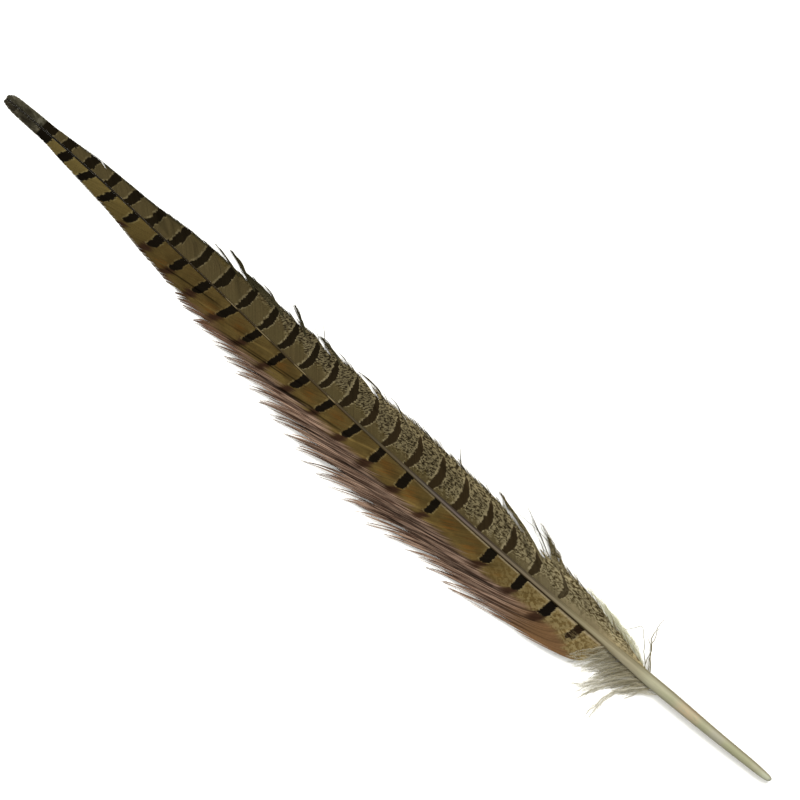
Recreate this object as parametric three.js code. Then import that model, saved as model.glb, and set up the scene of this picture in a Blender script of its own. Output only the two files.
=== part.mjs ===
// A cock pheasant's tail feather lying underside down on a flat surface.
//
// Millimetres, +Z up. +X runs from the quill's end to the feather's tip, +Y points to the side
// with the long loose fringe. The shaft is arched a little: the quill, the tip and the outer
// edges of the vanes touch the surface, and the middle of the shaft is clear of it.
// The origin is under the middle of the feather, on the surface.

import * as THREE from "three";

// ---- Driving dimensions ------------------------------------------------------------------

const LENGTH = 430.5; // quill end to tip, along the straight line between them
const VANE_THICKNESS = 0.5;
const GAP = 0.3; // between the shaft and what grows from it
const ROOT_HEIGHT = 0.65; // where a vane leaves the shaft, as a share of the shaft's height
const DROOP_POWER = 1.5; // how late across its width a vane turns down to its edge

// Each profile is a list of [distance from the quill's end, value].

// How far the shaft bows towards +Y from the straight line between its ends.
const BOW = [
  [0, 0], [32, 1.75], [74, 3.5], [116, 4.5], [158, 4.85], [200, 4.55], [242, 3.6],
  [284, 2.1], [326, 0.5], [368, -0.6], [389, -0.8], [410, -0.6], [LENGTH, 0],
];

// The shaft's sides, from the bowed middle line, and its underside and top.
const SHAFT_MINUS_Y = [
  [0, -0.5], [1.4, -1.1], [5, -1.5], [11, -1.9], [32, -2.45], [53, -3.15], [66, -3.25], [76, -3.2],
  [95, -2.5], [116, -2.1], [158, -1.5], [200, -1.1], [221, -0.8], [263, -0.5], [305, -0.4],
  [347, -0.34], [LENGTH, -0.3],
];
const SHAFT_PLUS_Y = [
  [0, 0.7], [1.4, 1.5], [5, 1.9], [11, 2], [32, 2.2], [53, 2.25], [66, 2.15], [76, 1.6], [95, 1],
  [116, 0.85], [158, 0.72], [200, 0.63], [221, 0.55], [263, 0.45], [305, 0.38], [347, 0.34],
  [LENGTH, 0.3],
];
const SHAFT_UNDERSIDE = [
  [0, 1.6], [1.4, 0.95], [5, 0.55], [11, 0.25], [21, 0.06], [32, 0], [56, 0], [74, 0.25],
  [95, 0.95], [116, 1.9], [137, 2.8], [158, 3.5], [179, 4.1], [200, 4.5], [221, 4.75],
  [263, 4.65], [305, 3.95], [347, 2.8], [389, 1.4], [410, 0.6], [LENGTH, 0],
];
const SHAFT_TOP = [
  [0, 2.7], [1.4, 3.3], [5, 3.75], [11, 4.15], [32, 4.9], [53, 5.2], [66, 5.25], [76, 5.2],
  [95, 5.1], [116, 5.4], [137, 5.9], [158, 6.2], [179, 6.45], [200, 6.5], [221, 6.4],
  [263, 5.9], [305, 4.95], [347, 3.6], [389, 2.1], [410, 1.25], [LENGTH, 0.6],
];

// The vanes' outer edges, from the bowed middle line, and the height of those edges' middle.
const FRINGED_VANE_EDGE = [
  [90.8, 2.6], [92.4, 6], [94.9, 11], [101.2, 14.7], [110, 17.2], [124, 18.8], [137, 21],
  [152, 23.9], [173, 24.6], [192, 25.4], [213, 26], [230, 25.4], [245, 23.8], [262, 22.2],
  [283, 20], [295, 17.2], [316, 15.4], [327, 12.6], [343, 11.2], [360, 8.4], [374, 7],
  [389, 5.8], [400, 4.5], [410, 3.2], [425, 2.7], [429, 2], [LENGTH, 0.9],
];
const MOTTLED_VANE_EDGE = [
  [74.6, -3.9], [78, -6.1], [86.5, -9], [99, -11], [107.5, -12.6], [120, -14.7], [133, -17.2],
  [141, -18.1], [162, -18.9], [183, -18.1], [217, -17.2], [238, -16.6], [263, -16],
  [284, -15.1], [301, -13.9], [322, -11.8], [334, -10.5], [347, -9], [364, -7.3],
  [381, -6.6], [395, -5.2], [406, -3.9], [414, -3.65], [426, -3.6], [429, -2.4], [LENGTH, -0.9],
];
const VANE_EDGE_HEIGHT = [
  [74, 3.3], [95, 2.7], [116, 1.8], [137, 0.9], [158, 0.35], [168, 0.25], [LENGTH, 0.25],
];

// The down at the vanes' base: outer edge, then underside and top at the thickest place.
const FRINGED_DOWN_EDGE = [
  [63, 3.2], [68, 7.5], [73, 15], [76.5, 21], [80, 23.5], [85, 22], [88, 13], [90.2, 5],
];
const FRINGED_DOWN_HEIGHT = { underside: 0, top: 3.4, edge: 0.6 };
const MOTTLED_DOWN_EDGE = [
  [70, -4.6], [78, -8], [88, -10.9], [100, -13.2], [106, -12.2],
];
const MOTTLED_DOWN_HEIGHT = { underside: 0, top: 1.9, edge: 0.5 };

// ---- Materials ---------------------------------------------------------------------------

const HORN = { color: 0xb4aa82, roughness: 0.45, metalness: 0 };
const FRINGED_BARBS = { color: 0x73603f, roughness: 0.75, metalness: 0 };
const MOTTLED_BARBS = { color: 0x6b6346, roughness: 0.75, metalness: 0 };
const DOWN = { color: 0xaaa591, roughness: 0.9, metalness: 0 };

// ---- Profiles and lofts ------------------------------------------------------------------

/** The slope of a profile at one of its points, from the points on either side. */
function slopeAt(profile, index) {
  const before = profile[Math.max(index - 1, 0)];
  const after = profile[Math.min(index + 1, profile.length - 1)];
  return (after[1] - before[1]) / (after[0] - before[0]);
}

/** A profile's value at a distance from the quill's end, on a smooth curve through its points. */
function valueAt(profile, distance) {
  const last = profile.length - 1;
  const clamped = Math.min(Math.max(distance, profile[0][0]), profile[last][0]);
  let index = 0;
  while (index < last - 1 && profile[index + 1][0] < clamped) {
    index += 1;
  }
  const [start, startValue] = profile[index];
  const [end, endValue] = profile[index + 1];
  const span = end - start;
  const u = (clamped - start) / span;
  const rise = 3 * u * u - 2 * u * u * u;
  const leave = u * (1 - u) * (1 - u) * slopeAt(profile, index) * span;
  const arrive = u * u * (u - 1) * slopeAt(profile, index + 1) * span;
  return startValue + (endValue - startValue) * rise + leave + arrive;
}

/** Distances from first to last, closer together towards both ends. */
function stations(first, last, count) {
  const list = [];
  for (let i = 0; i <= count; i += 1) {
    const even = i / count;
    const eased = (1 - Math.cos(Math.PI * even)) / 2;
    list.push(first + (last - first) * (0.6 * even + 0.4 * eased));
  }
  return list;
}

/**
 * A closed solid through rings of points along +X. Every ring has the same even number of
 * points: the first half runs along one face, the second half comes back along the other.
 */
function loft(rings) {
  const ringSize = rings[0].length;
  const positions = [];
  for (const ring of rings) {
    for (const point of ring) {
      positions.push(point.x, point.y, point.z);
    }
  }
  const triangles = [];
  for (let r = 0; r < rings.length - 1; r += 1) {
    for (let i = 0; i < ringSize; i += 1) {
      const a = r * ringSize + i;
      const b = r * ringSize + ((i + 1) % ringSize);
      triangles.push(a, b, a + ringSize, b, b + ringSize, a + ringSize);
    }
  }
  const lastRing = (rings.length - 1) * ringSize;
  for (let i = 0; i < ringSize / 2 - 1; i += 1) {
    const j = ringSize - 1 - i;
    triangles.push(i, j, i + 1, i + 1, j, j - 1);
    triangles.push(lastRing + i, lastRing + i + 1, lastRing + j);
    triangles.push(lastRing + i + 1, lastRing + j - 1, lastRing + j);
  }
  const geometry = new THREE.BufferGeometry();
  geometry.setAttribute("position", new THREE.Float32BufferAttribute(positions, 3));
  geometry.setIndex(triangles);
  geometry.computeVertexNormals();
  return geometry;
}

/** A mesh with its node's name and its own material. */
function piece(name, geometry, finish) {
  const mesh = new THREE.Mesh(geometry, new THREE.MeshStandardMaterial(finish));
  mesh.name = name;
  return mesh;
}

// ---- The shaft: quill and rachis, one piece ------------------------------------------------

const SHAFT_SIDES = 12;
const SHAFT_STATIONS = 56;

/** A rounded section of the shaft at one distance from the quill's end. */
function shaftRing(distance) {
  const bow = valueAt(BOW, distance);
  const low = valueAt(SHAFT_MINUS_Y, distance);
  const high = valueAt(SHAFT_PLUS_Y, distance);
  const underside = valueAt(SHAFT_UNDERSIDE, distance);
  const top = valueAt(SHAFT_TOP, distance);
  const ring = [];
  for (let i = 0; i < SHAFT_SIDES; i += 1) {
    const angle = ((i + 0.5) / SHAFT_SIDES) * 2 * Math.PI;
    const y = bow + (low + high) / 2 + ((high - low) / 2) * Math.cos(angle);
    const z = (underside + top) / 2 + ((top - underside) / 2) * Math.sin(angle);
    ring.push(new THREE.Vector3(distance, y, z));
  }
  return ring;
}

function makeShaft() {
  const rings = stations(0, LENGTH - 0.5, SHAFT_STATIONS).map(shaftRing);
  return piece("shaft", loft(rings), HORN);
}

// ---- The vanes -----------------------------------------------------------------------------

const VANE_STATIONS = 68;
const VANE_STEPS = 5; // across the vane

/** The height of the middle of a vane where it leaves the shaft. */
function rootHeight(distance) {
  const underside = valueAt(SHAFT_UNDERSIDE, distance);
  const top = valueAt(SHAFT_TOP, distance);
  return Math.max(underside + ROOT_HEIGHT * (top - underside), VANE_THICKNESS / 2);
}

/** A thin curved section of a vane. side is +1 for the fringed vane and -1 for the other. */
function vaneRing(distance, side, shaftSide, edgeProfile) {
  const bow = valueAt(BOW, distance);
  const inner = side * (Math.abs(valueAt(shaftSide, distance)) + GAP);
  const outer = valueAt(edgeProfile, distance);
  const root = rootHeight(distance);
  const edge = Math.min(valueAt(VANE_EDGE_HEIGHT, distance), root);
  const upper = [];
  const lower = [];
  for (let i = 0; i <= VANE_STEPS; i += 1) {
    const across = i / VANE_STEPS;
    const y = bow + inner + (outer - inner) * across;
    const z = root + (edge - root) * across ** DROOP_POWER;
    upper.push(new THREE.Vector3(distance, y, z + VANE_THICKNESS / 2));
    lower.push(new THREE.Vector3(distance, y, z - VANE_THICKNESS / 2));
  }
  return side > 0 ? [...lower, ...upper.reverse()] : [...upper, ...lower.reverse()];
}

function makeVane(name, side, shaftSide, edgeProfile, finish) {
  const first = edgeProfile[0][0];
  const rings = stations(first, LENGTH, VANE_STATIONS).map((distance) =>
    vaneRing(distance, side, shaftSide, edgeProfile),
  );
  return piece(name, loft(rings), finish);
}

// ---- The down at the base of the vanes -------------------------------------------------------

const DOWN_STATIONS = 12;
const DOWN_STEPS = 5; // across the tuft

/** A lens-shaped section of a tuft, thinner towards both ends of the tuft and both its sides. */
function downRing(distance, side, edgeProfile, height) {
  const first = edgeProfile[0][0];
  const last = edgeProfile[edgeProfile.length - 1][0];
  const shaftSide = side > 0 ? SHAFT_PLUS_Y : SHAFT_MINUS_Y;
  const bow = valueAt(BOW, distance);
  const inner = side * (Math.abs(valueAt(shaftSide, distance)) + GAP);
  const outer = valueAt(edgeProfile, distance);
  const along = (distance - first) / (last - first);
  const upper = [];
  const lower = [];
  for (let i = 0; i <= DOWN_STEPS; i += 1) {
    const across = i / DOWN_STEPS;
    const swell = Math.sqrt(Math.sin(Math.PI * along) * Math.sin(Math.PI * across));
    const thickness = height.edge + (height.top - height.edge - height.underside) * swell;
    const y = bow + inner + (outer - inner) * across;
    upper.push(new THREE.Vector3(distance, y, height.underside + thickness));
    lower.push(new THREE.Vector3(distance, y, height.underside));
  }
  return side > 0 ? [...lower, ...upper.reverse()] : [...upper, ...lower.reverse()];
}

function makeDown(name, side, edgeProfile, height) {
  const first = edgeProfile[0][0];
  const last = edgeProfile[edgeProfile.length - 1][0];
  const rings = stations(first, last, DOWN_STATIONS).map((distance) =>
    downRing(distance, side, edgeProfile, height),
  );
  return piece(name, loft(rings), DOWN);
}

// ---- The feather -----------------------------------------------------------------------------

const feather = new THREE.Group();
feather.add(
  makeShaft(),
  makeVane("fringed_vane", 1, SHAFT_PLUS_Y, FRINGED_VANE_EDGE, FRINGED_BARBS),
  makeVane("mottled_vane", -1, SHAFT_MINUS_Y, MOTTLED_VANE_EDGE, MOTTLED_BARBS),
  makeDown("fringed_side_down", 1, FRINGED_DOWN_EDGE, FRINGED_DOWN_HEIGHT),
  makeDown("mottled_side_down", -1, MOTTLED_DOWN_EDGE, MOTTLED_DOWN_HEIGHT),
);

// The origin goes under the middle of the feather's bounding box, on the surface it lies on.
const bounds = new THREE.Box3().setFromObject(feather);
const middle = bounds.getCenter(new THREE.Vector3());
feather.position.set(-middle.x, -middle.y, -bounds.min.z);

export default feather;
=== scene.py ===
import math

import bpy
import numpy as np
from mathutils import Matrix, Vector


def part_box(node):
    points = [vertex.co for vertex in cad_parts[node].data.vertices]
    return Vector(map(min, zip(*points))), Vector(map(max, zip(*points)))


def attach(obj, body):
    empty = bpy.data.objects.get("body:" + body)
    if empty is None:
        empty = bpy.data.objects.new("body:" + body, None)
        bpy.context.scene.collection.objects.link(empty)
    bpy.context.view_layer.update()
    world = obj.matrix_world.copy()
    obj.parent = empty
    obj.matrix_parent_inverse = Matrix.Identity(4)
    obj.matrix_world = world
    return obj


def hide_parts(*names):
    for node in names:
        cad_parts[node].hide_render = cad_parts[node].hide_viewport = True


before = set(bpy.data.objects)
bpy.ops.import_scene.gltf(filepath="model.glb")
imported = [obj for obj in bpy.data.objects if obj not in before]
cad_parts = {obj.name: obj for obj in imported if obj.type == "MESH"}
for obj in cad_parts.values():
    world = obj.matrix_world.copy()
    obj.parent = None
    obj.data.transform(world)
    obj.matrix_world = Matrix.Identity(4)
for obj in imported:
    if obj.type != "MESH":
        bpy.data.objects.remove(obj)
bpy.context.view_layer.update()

# A cock pheasant's tail feather, lying underside down. Lengths are in millimetres until a mesh
# is made. A place on the feather is given as along (from the quill's end to the tip), offset
# (from the bowed middle line, + towards the fringed side) and height above the surface.

MM = 0.001
LENGTH = 430.5
FRINGED = 1
MOTTLED = -1

# ---- The feather's shape: lists of (along, value) ----------------------------------------------

BOW = [
    (0, 0), (32, 1.75), (74, 3.5), (116, 4.5), (158, 4.85), (200, 4.55), (242, 3.6),
    (284, 2.1), (326, 0.5), (368, -0.6), (389, -0.8), (410, -0.6), (LENGTH, 0),
]
SHAFT_MINUS_Y = [
    (0, -0.5), (1.4, -1.1), (5, -1.5), (11, -1.9), (32, -2.45), (53, -3.15), (66, -3.25),
    (76, -3.2), (95, -2.5), (116, -2.1), (158, -1.5), (200, -1.1), (221, -0.8), (263, -0.5),
    (305, -0.4), (347, -0.34), (LENGTH, -0.3),
]
SHAFT_PLUS_Y = [
    (0, 0.7), (1.4, 1.5), (5, 1.9), (11, 2), (32, 2.2), (53, 2.25), (66, 2.15), (76, 1.6),
    (95, 1), (116, 0.85), (158, 0.72), (200, 0.63), (221, 0.55), (263, 0.45), (305, 0.38),
    (347, 0.34), (LENGTH, 0.3),
]
SHAFT_UNDERSIDE = [
    (0, 1.6), (1.4, 0.95), (5, 0.55), (11, 0.25), (21, 0.06), (32, 0), (56, 0), (74, 0.25),
    (95, 0.95), (116, 1.9), (137, 2.8), (158, 3.5), (179, 4.1), (200, 4.5), (221, 4.75),
    (263, 4.65), (305, 3.95), (347, 2.8), (389, 1.4), (410, 0.6), (LENGTH, 0),
]
SHAFT_TOP = [
    (0, 2.7), (1.4, 3.3), (5, 3.75), (11, 4.15), (32, 4.9), (53, 5.2), (66, 5.25), (76, 5.2),
    (95, 5.1), (116, 5.4), (137, 5.9), (158, 6.2), (179, 6.45), (200, 6.5), (221, 6.4),
    (263, 5.9), (305, 4.95), (347, 3.6), (389, 2.1), (410, 1.25), (LENGTH, 0.6),
]
EDGE_HEIGHT = [
    (74, 3.3), (95, 2.7), (116, 1.8), (137, 0.9), (158, 0.35), (168, 0.25), (LENGTH, 0.25),
]
ROOT_HEIGHT = 0.65  # where a vane leaves the shaft, as a share of the shaft's height
DROOP_POWER = 1.5  # how late across its width a vane turns down to its edge

# How wide each vane is, from the middle line to the tips of its barbs.
FRINGED_WIDTH = [
    (90, 7), (93, 13), (99, 16.6), (111.6, 18.9), (128.4, 20.5), (145.2, 24), (150.6, 24.9),
    (176.6, 25.4), (192.2, 27.2), (212.3, 28), (229.1, 27.3), (245.9, 24.9), (262.7, 21.6),
    (285.7, 18.6), (304.6, 16.4), (313, 15.3), (329.8, 12.2), (346.6, 10.4), (363.4, 8.1),
    (380.1, 6.5), (396.9, 5.1), (405.3, 4), (418, 3.5), (425, 3.1), (429.8, 2), (LENGTH, 1.3),
]
MOTTLED_WIDTH = [
    (70, 3.2), (78, 5.4), (94.8, 9.3), (111.6, 12.5), (128.4, 13.9), (136.8, 12.8), (153.6, 14.4),
    (162, 16.2), (195.5, 17.1), (212.3, 17.1), (237.5, 15.9), (262.7, 15.3), (287.8, 13.9),
    (304.6, 12.2), (321.4, 11.7), (338.2, 10.4), (355, 8.1), (371.8, 7), (388.5, 5.6),
    (405.3, 4.1), (420, 3.7), (428.4, 3.2), (LENGTH, 1.5),
]


def profile(points, along):
    """The value at a distance from the quill's end, on a smooth curve through the points."""
    xs, ys = np.array(points, dtype=float).T
    ahead, behind = np.append(xs[1:], xs[-1]), np.append(xs[0], xs[:-1])
    above, below = np.append(ys[1:], ys[-1]), np.append(ys[0], ys[:-1])
    slopes = (above - below) / (ahead - behind)
    x = np.clip(along, xs[0], xs[-1])
    i = np.clip(np.searchsorted(xs, x) - 1, 0, len(xs) - 2)
    span = xs[i + 1] - xs[i]
    u = (x - xs[i]) / span
    rise = 3 * u**2 - 2 * u**3
    leave = u * (1 - u) ** 2 * slopes[i] * span
    arrive = u**2 * (u - 1) * slopes[i + 1] * span
    return ys[i] + (ys[i + 1] - ys[i]) * rise + leave + arrive


def ease(value, low, high):
    """0 below low, 1 above high, and a smooth step between them."""
    u = np.clip((value - low) / (high - low), 0, 1)
    return u * u * (3 - 2 * u)


WIDTH = {FRINGED: FRINGED_WIDTH, MOTTLED: MOTTLED_WIDTH}
SHAFT_SIDE = {FRINGED: SHAFT_PLUS_Y, MOTTLED: SHAFT_MINUS_Y}
STATIONS = np.arange(0.0, LENGTH, 0.5)
WIDTH_TABLE = {side: profile(WIDTH[side], STATIONS) for side in WIDTH}


def vane_width(along, side):
    return np.interp(along, STATIONS, WIDTH_TABLE[side])


def vane_height(along, offset, side):
    """The height of the middle of a vane's thickness."""
    underside = profile(SHAFT_UNDERSIDE, along)
    root = underside + ROOT_HEIGHT * (profile(SHAFT_TOP, along) - underside)
    edge = np.minimum(profile(EDGE_HEIGHT, along), root)
    inner = np.abs(profile(SHAFT_SIDE[side], along))
    wide = np.maximum(vane_width(along, side) - inner, 0.5)
    across = np.clip((np.abs(offset) - inner) / wide, 0, 1)
    return root + (edge - root) * across**DROOP_POWER


# The quill's end and the line that the bow is measured from, in the frame.
shaft_low, shaft_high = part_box("shaft")
QUILL_X = shaft_low.x / MM
CHORD_Y = shaft_high.y / MM - (profile(BOW, STATIONS) + profile(SHAFT_PLUS_Y, STATIONS)).max()


def columns(*values):
    """Arrays and single numbers side by side, as the last axis of one array."""
    return np.stack(np.broadcast_arrays(*values), axis=-1)


def in_frame(along, offset, height):
    """Places on the feather as points of the frame, in metres."""
    return columns(along + QUILL_X, profile(BOW, along) + offset + CHORD_Y, height) * MM


# ---- Shader nodes written as calls -------------------------------------------------------------

LIGHT_LEVEL = 1.35  # how bright the studio light shows a matt white surface


def paint(red, green, blue):
    """A surface colour from how it should look under the studio light, as 0 to 255 display values."""
    linear = [((c / 255 + 0.055) / 1.055) ** 2.4 for c in (red, green, blue)]
    return (*[c / LIGHT_LEVEL for c in linear], 1.0)


class Surface:
    """A new material. Each method adds a node and returns its output."""

    def __init__(self, name):
        self.material = bpy.data.materials.new(name)
        self.material.use_nodes = True
        self.tree = self.material.node_tree
        self.shader = self.tree.nodes["Principled BSDF"]

    def fill(self, socket, value):
        if isinstance(value, bpy.types.NodeSocket):
            self.tree.links.new(value, socket)
        else:
            socket.default_value = value

    def math(self, operation, first, second=0.0):
        node = self.tree.nodes.new("ShaderNodeMath")
        node.operation = operation
        self.fill(node.inputs[0], first)
        self.fill(node.inputs[1], second)
        return node.outputs[0]

    def plus(self, first, second):
        return self.math("ADD", first, second)

    def minus(self, first, second):
        return self.math("SUBTRACT", first, second)

    def times(self, product, *factors):
        for factor in factors:
            product = self.math("MULTIPLY", product, factor)
        return product

    def step(self, value, low, high):
        """0 at low and 1 at high, smooth between. low may be above high."""
        node = self.tree.nodes.new("ShaderNodeMapRange")
        node.interpolation_type = "SMOOTHSTEP"
        self.fill(node.inputs["Value"], value)
        flipped = low > high
        node.inputs["From Min"].default_value = min(low, high)
        node.inputs["From Max"].default_value = max(low, high)
        node.inputs["To Min"].default_value = 1.0 if flipped else 0.0
        node.inputs["To Max"].default_value = 0.0 if flipped else 1.0
        return node.outputs["Result"]

    def mix(self, factor, first, second):
        node = self.tree.nodes.new("ShaderNodeMix")
        node.data_type = "RGBA"
        self.fill(node.inputs["Factor"], factor)
        self.fill(node.inputs[6], first)
        self.fill(node.inputs[7], second)
        return node.outputs[2]

    def tint(self, colour, other, *factors):
        """The colour mixed towards another one, by the product of the factors."""
        return self.mix(self.times(*factors), colour, paint(*other))

    def mix_value(self, factor, first, second):
        return self.plus(first, self.times(factor, second - first))

    def scale(self, colour, factor):
        """The colour made lighter or darker."""
        node = self.tree.nodes.new("ShaderNodeVectorMath")
        node.operation = "SCALE"
        self.fill(node.inputs[0], colour)
        self.fill(node.inputs["Scale"], factor)
        return node.outputs[0]

    def attribute(self, name):
        """The three numbers of a mesh attribute."""
        node = self.tree.nodes.new("ShaderNodeAttribute")
        node.attribute_name = name
        split = self.tree.nodes.new("ShaderNodeSeparateXYZ")
        self.tree.links.new(node.outputs["Vector"], split.inputs[0])
        return split.outputs

    def noise(self, x, y, per_x, per_y, layer=0.0, detail=2.0, distortion=0.0):
        """Noise from 0 to 1 with about per_x and per_y changes for each unit of x and y."""
        place = self.tree.nodes.new("ShaderNodeCombineXYZ")
        for socket, value in zip(place.inputs, (self.times(x, per_x), self.times(y, per_y), layer)):
            self.fill(socket, value)
        node = self.tree.nodes.new("ShaderNodeTexNoise")
        node.inputs["Scale"].default_value = 1.0
        node.inputs["Detail"].default_value = detail
        node.inputs["Distortion"].default_value = distortion
        self.tree.links.new(place.outputs[0], node.inputs["Vector"])
        return node.outputs["Fac"]

    def bump(self, height, distance, strength):
        node = self.tree.nodes.new("ShaderNodeBump")
        node.inputs["Strength"].default_value = strength
        node.inputs["Distance"].default_value = distance
        self.tree.links.new(height, node.inputs["Height"])
        self.tree.links.new(node.outputs["Normal"], self.shader.inputs["Normal"])

    def finish(self, colour, roughness, shine):
        self.fill(self.shader.inputs["Base Color"], colour)
        self.fill(self.shader.inputs["Roughness"], roughness)
        self.shader.inputs["Specular IOR Level"].default_value = shine
        return self.material


# ---- Meshes ------------------------------------------------------------------------------------


def make_piece(name, points, faces, fields, materials, smooth=False):
    """A mesh object at the frame's origin. fields gives three numbers for each point."""
    mesh = bpy.data.meshes.new(name)
    mesh.from_pydata(points, [], faces)
    for field, values in fields.items():
        layer = mesh.attributes.new(field, "FLOAT_VECTOR", "POINT")
        layer.data.foreach_set("vector", values.astype(np.float32).ravel())
    for material in materials:
        mesh.materials.append(material)
    mesh.polygons.foreach_set("use_smooth", np.full(len(faces), smooth))
    mesh.update()
    piece = bpy.data.objects.new(name, mesh)
    bpy.context.scene.collection.objects.link(piece)
    return piece


class Strands:
    """Many tapered strands of three-sided section, each a closed body, gathered into one mesh."""

    def __init__(self, fields):
        self.points = []
        self.faces = []
        self.under = []
        self.fields = {name: [] for name in fields}
        self.count = 0

    def add(self, left, ridge, right, fields):
        """One strand from its two edges and its ridge. fields gives three numbers for each place."""
        n = len(left)
        first = self.count
        self.points.append(np.stack([left, ridge, right], axis=1).reshape(-1, 3))
        for name, values in fields.items():
            self.fields[name].append(np.repeat(values, 3, axis=0))
        i = first + 3 * np.arange(n - 1)
        l0, m0, r0 = i, i + 1, i + 2
        l1, m1, r1 = i + 3, i + 4, i + 5
        sides = [(l0, m0, m1, l1), (m0, r0, r1, m1), (r0, l0, l1, r1)]
        for k, corners in enumerate(sides):
            quads = np.stack(corners, axis=1)
            self.faces.extend(quads.tolist())
            self.under.extend([k == 2] * len(quads))
        last = first + 3 * (n - 1)
        self.faces.append([first, first + 2, first + 1])
        self.faces.append([last, last + 1, last + 2])
        self.under.extend([False, False])
        self.count += 3 * n

    def make(self, name, materials):
        """The mesh object. A second material is for the strands' undersides."""
        fields = {field: np.concatenate(values) for field, values in self.fields.items()}
        piece = make_piece(name, np.concatenate(self.points), self.faces, fields, materials)
        if len(materials) > 1:
            piece.data.polygons.foreach_set("material_index", np.array(self.under, dtype=np.int32))
        return piece


def strand_sides(along, offset, height, half_width, rise, tilt=0.0):
    """A strand's left edge, ridge and right edge in the frame. height is that of its underside."""
    run, out = np.gradient(along), np.gradient(offset)
    size = np.maximum(np.hypot(run, out), 1e-6)
    across_x, across_y = -out / size * half_width, run / size * half_width
    left = in_frame(along + across_x, offset + across_y, height + tilt)
    right = in_frame(along - across_x, offset - across_y, height - tilt)
    ridge = in_frame(along, offset, height + rise)
    return left, ridge, right


def resample(along, offset, step):
    """Even places, about step apart, on a course given by many close points."""
    lengths = np.concatenate([[0], np.cumsum(np.hypot(np.diff(along), np.diff(offset)))])
    count = max(int(lengths[-1] / step), 4)
    at = np.linspace(0, lengths[-1], count + 1)
    return at, np.interp(at, lengths, along), np.interp(at, lengths, offset), lengths


# ---- The markings: bars across the vanes -------------------------------------------------------

# (along, greatest width, strength). Strength 0 leaves a bar out, 1 is full black or dark brown.
FRINGED_BARS = [
    (75, 1, 0), (90.4, 2.6, 0.55), (102.8, 3.9, 1), (117.6, 4.3, 1), (134.1, 4.2, 1),
    (151, 4.6, 1), (166.7, 1, 0), (182.4, 3.6, 1), (198.3, 4.2, 1), (213.9, 3.6, 1),
    (228.7, 3.6, 1), (244, 3.4, 1), (258.6, 3.7, 1), (272.2, 3, 1), (286.1, 3.5, 1),
    (300.8, 3.8, 1), (315.6, 4, 1), (329.3, 3.9, 1), (343, 4.1, 1), (357.1, 3.8, 1),
    (370.2, 3.9, 1), (383.1, 4, 1), (395.1, 4.7, 1), (407.8, 6.7, 1), (424, 1, 0), (440, 1, 0),
]
MOTTLED_BARS = [
    (69, 1, 0), (81.7, 1, 0), (94.1, 2, 0.2), (105.9, 2, 0.25), (117.2, 3, 0.85),
    (132.8, 4, 0.97), (147.2, 4.2, 0.99), (161, 3.9, 1), (174.9, 4.1, 1), (188.1, 4.1, 1),
    (201.2, 3.8, 1), (214, 3.5, 1), (226.4, 3.5, 1), (238.2, 4, 1), (249.8, 3.5, 1),
    (261.3, 3.5, 1), (273.4, 3.5, 1), (285.2, 3.6, 1), (297.7, 3.6, 1), (310.5, 4.1, 1),
    (323.4, 3.7, 1), (336.3, 4, 1), (349.2, 4.1, 1), (361.7, 4.4, 1), (373.2, 4.2, 1),
    (385, 4.8, 1), (396.7, 5.2, 1), (407.5, 6.7, 1), (424, 1, 0), (440, 1, 0),
]
BARS = {FRINGED: FRINGED_BARS, MOTTLED: MOTTLED_BARS}

# The fringed side's bars end at BAR_REACH and lean, by mm towards the tip for each mm out. The
# other side's are lenses, BAR_LENS from the middle to the ends, that curve by the offset squared.
BAR_REACH = [
    (90, 8.8), (118, 7.9), (150, 7.3), (200, 7.9), (245, 7.7), (290, 7.7), (330, 7.2),
    (357, 5.8), (371, 6.4), (383, 9), (LENGTH, 9),
]
BAR_LEAN = [
    (90, 0.3), (103, 0.16), (118, 0.13), (134, -0.02), (150, -0.02), (200, 0.03), (214, 0.08),
    (228, 0.25), (272, 0.28), (300, 0.34), (345, 0.26), (360, 0.32), (385, 0.5), (400, 0.5),
    (410, 0), (LENGTH, 0),
]
BAR_LEAN_CENTRE = [(90, 3.6), (340, 3.6), (390, 2.2), (LENGTH, 2)]
BAR_END_SLANT = 0.37
BAR_END_ROUNDING = 1.3
BAR_CURVE_OUT = [
    (90, 0.2), (117, 0.27), (134, 0.16), (147, 0.1), (162, 0.068), (200, 0.062), (262, 0.045),
    (285, 0.03), (300, 0.015), (LENGTH, 0.005),
]
BAR_CURVE_IN = [(90, 0.02), (180, 0.03), (230, 0.05), (330, 0.045), (385, 0.03), (LENGTH, 0)]
BAR_CURVE_CENTRE = 5.7
BAR_LENS = [
    (90, 5), (117, 5), (133, 5.8), (150, 6.2), (172, 7.8), (298, 7.8), (322, 12), (345, 40),
    (LENGTH, 40),
]
BAR_LENS_CENTRE = 6.7

# The shade past the end of each bar on the fringed side.
SMEAR_LEAN = 0.75  # mm towards the tip for each mm out
SMEAR_WIDTH = 0.6  # half its width, as a share of the bar's width
SMEAR_FADE = (3, 6.5)  # mm past the bar's end
SMEARED_FROM = (98, 117)  # along


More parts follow.
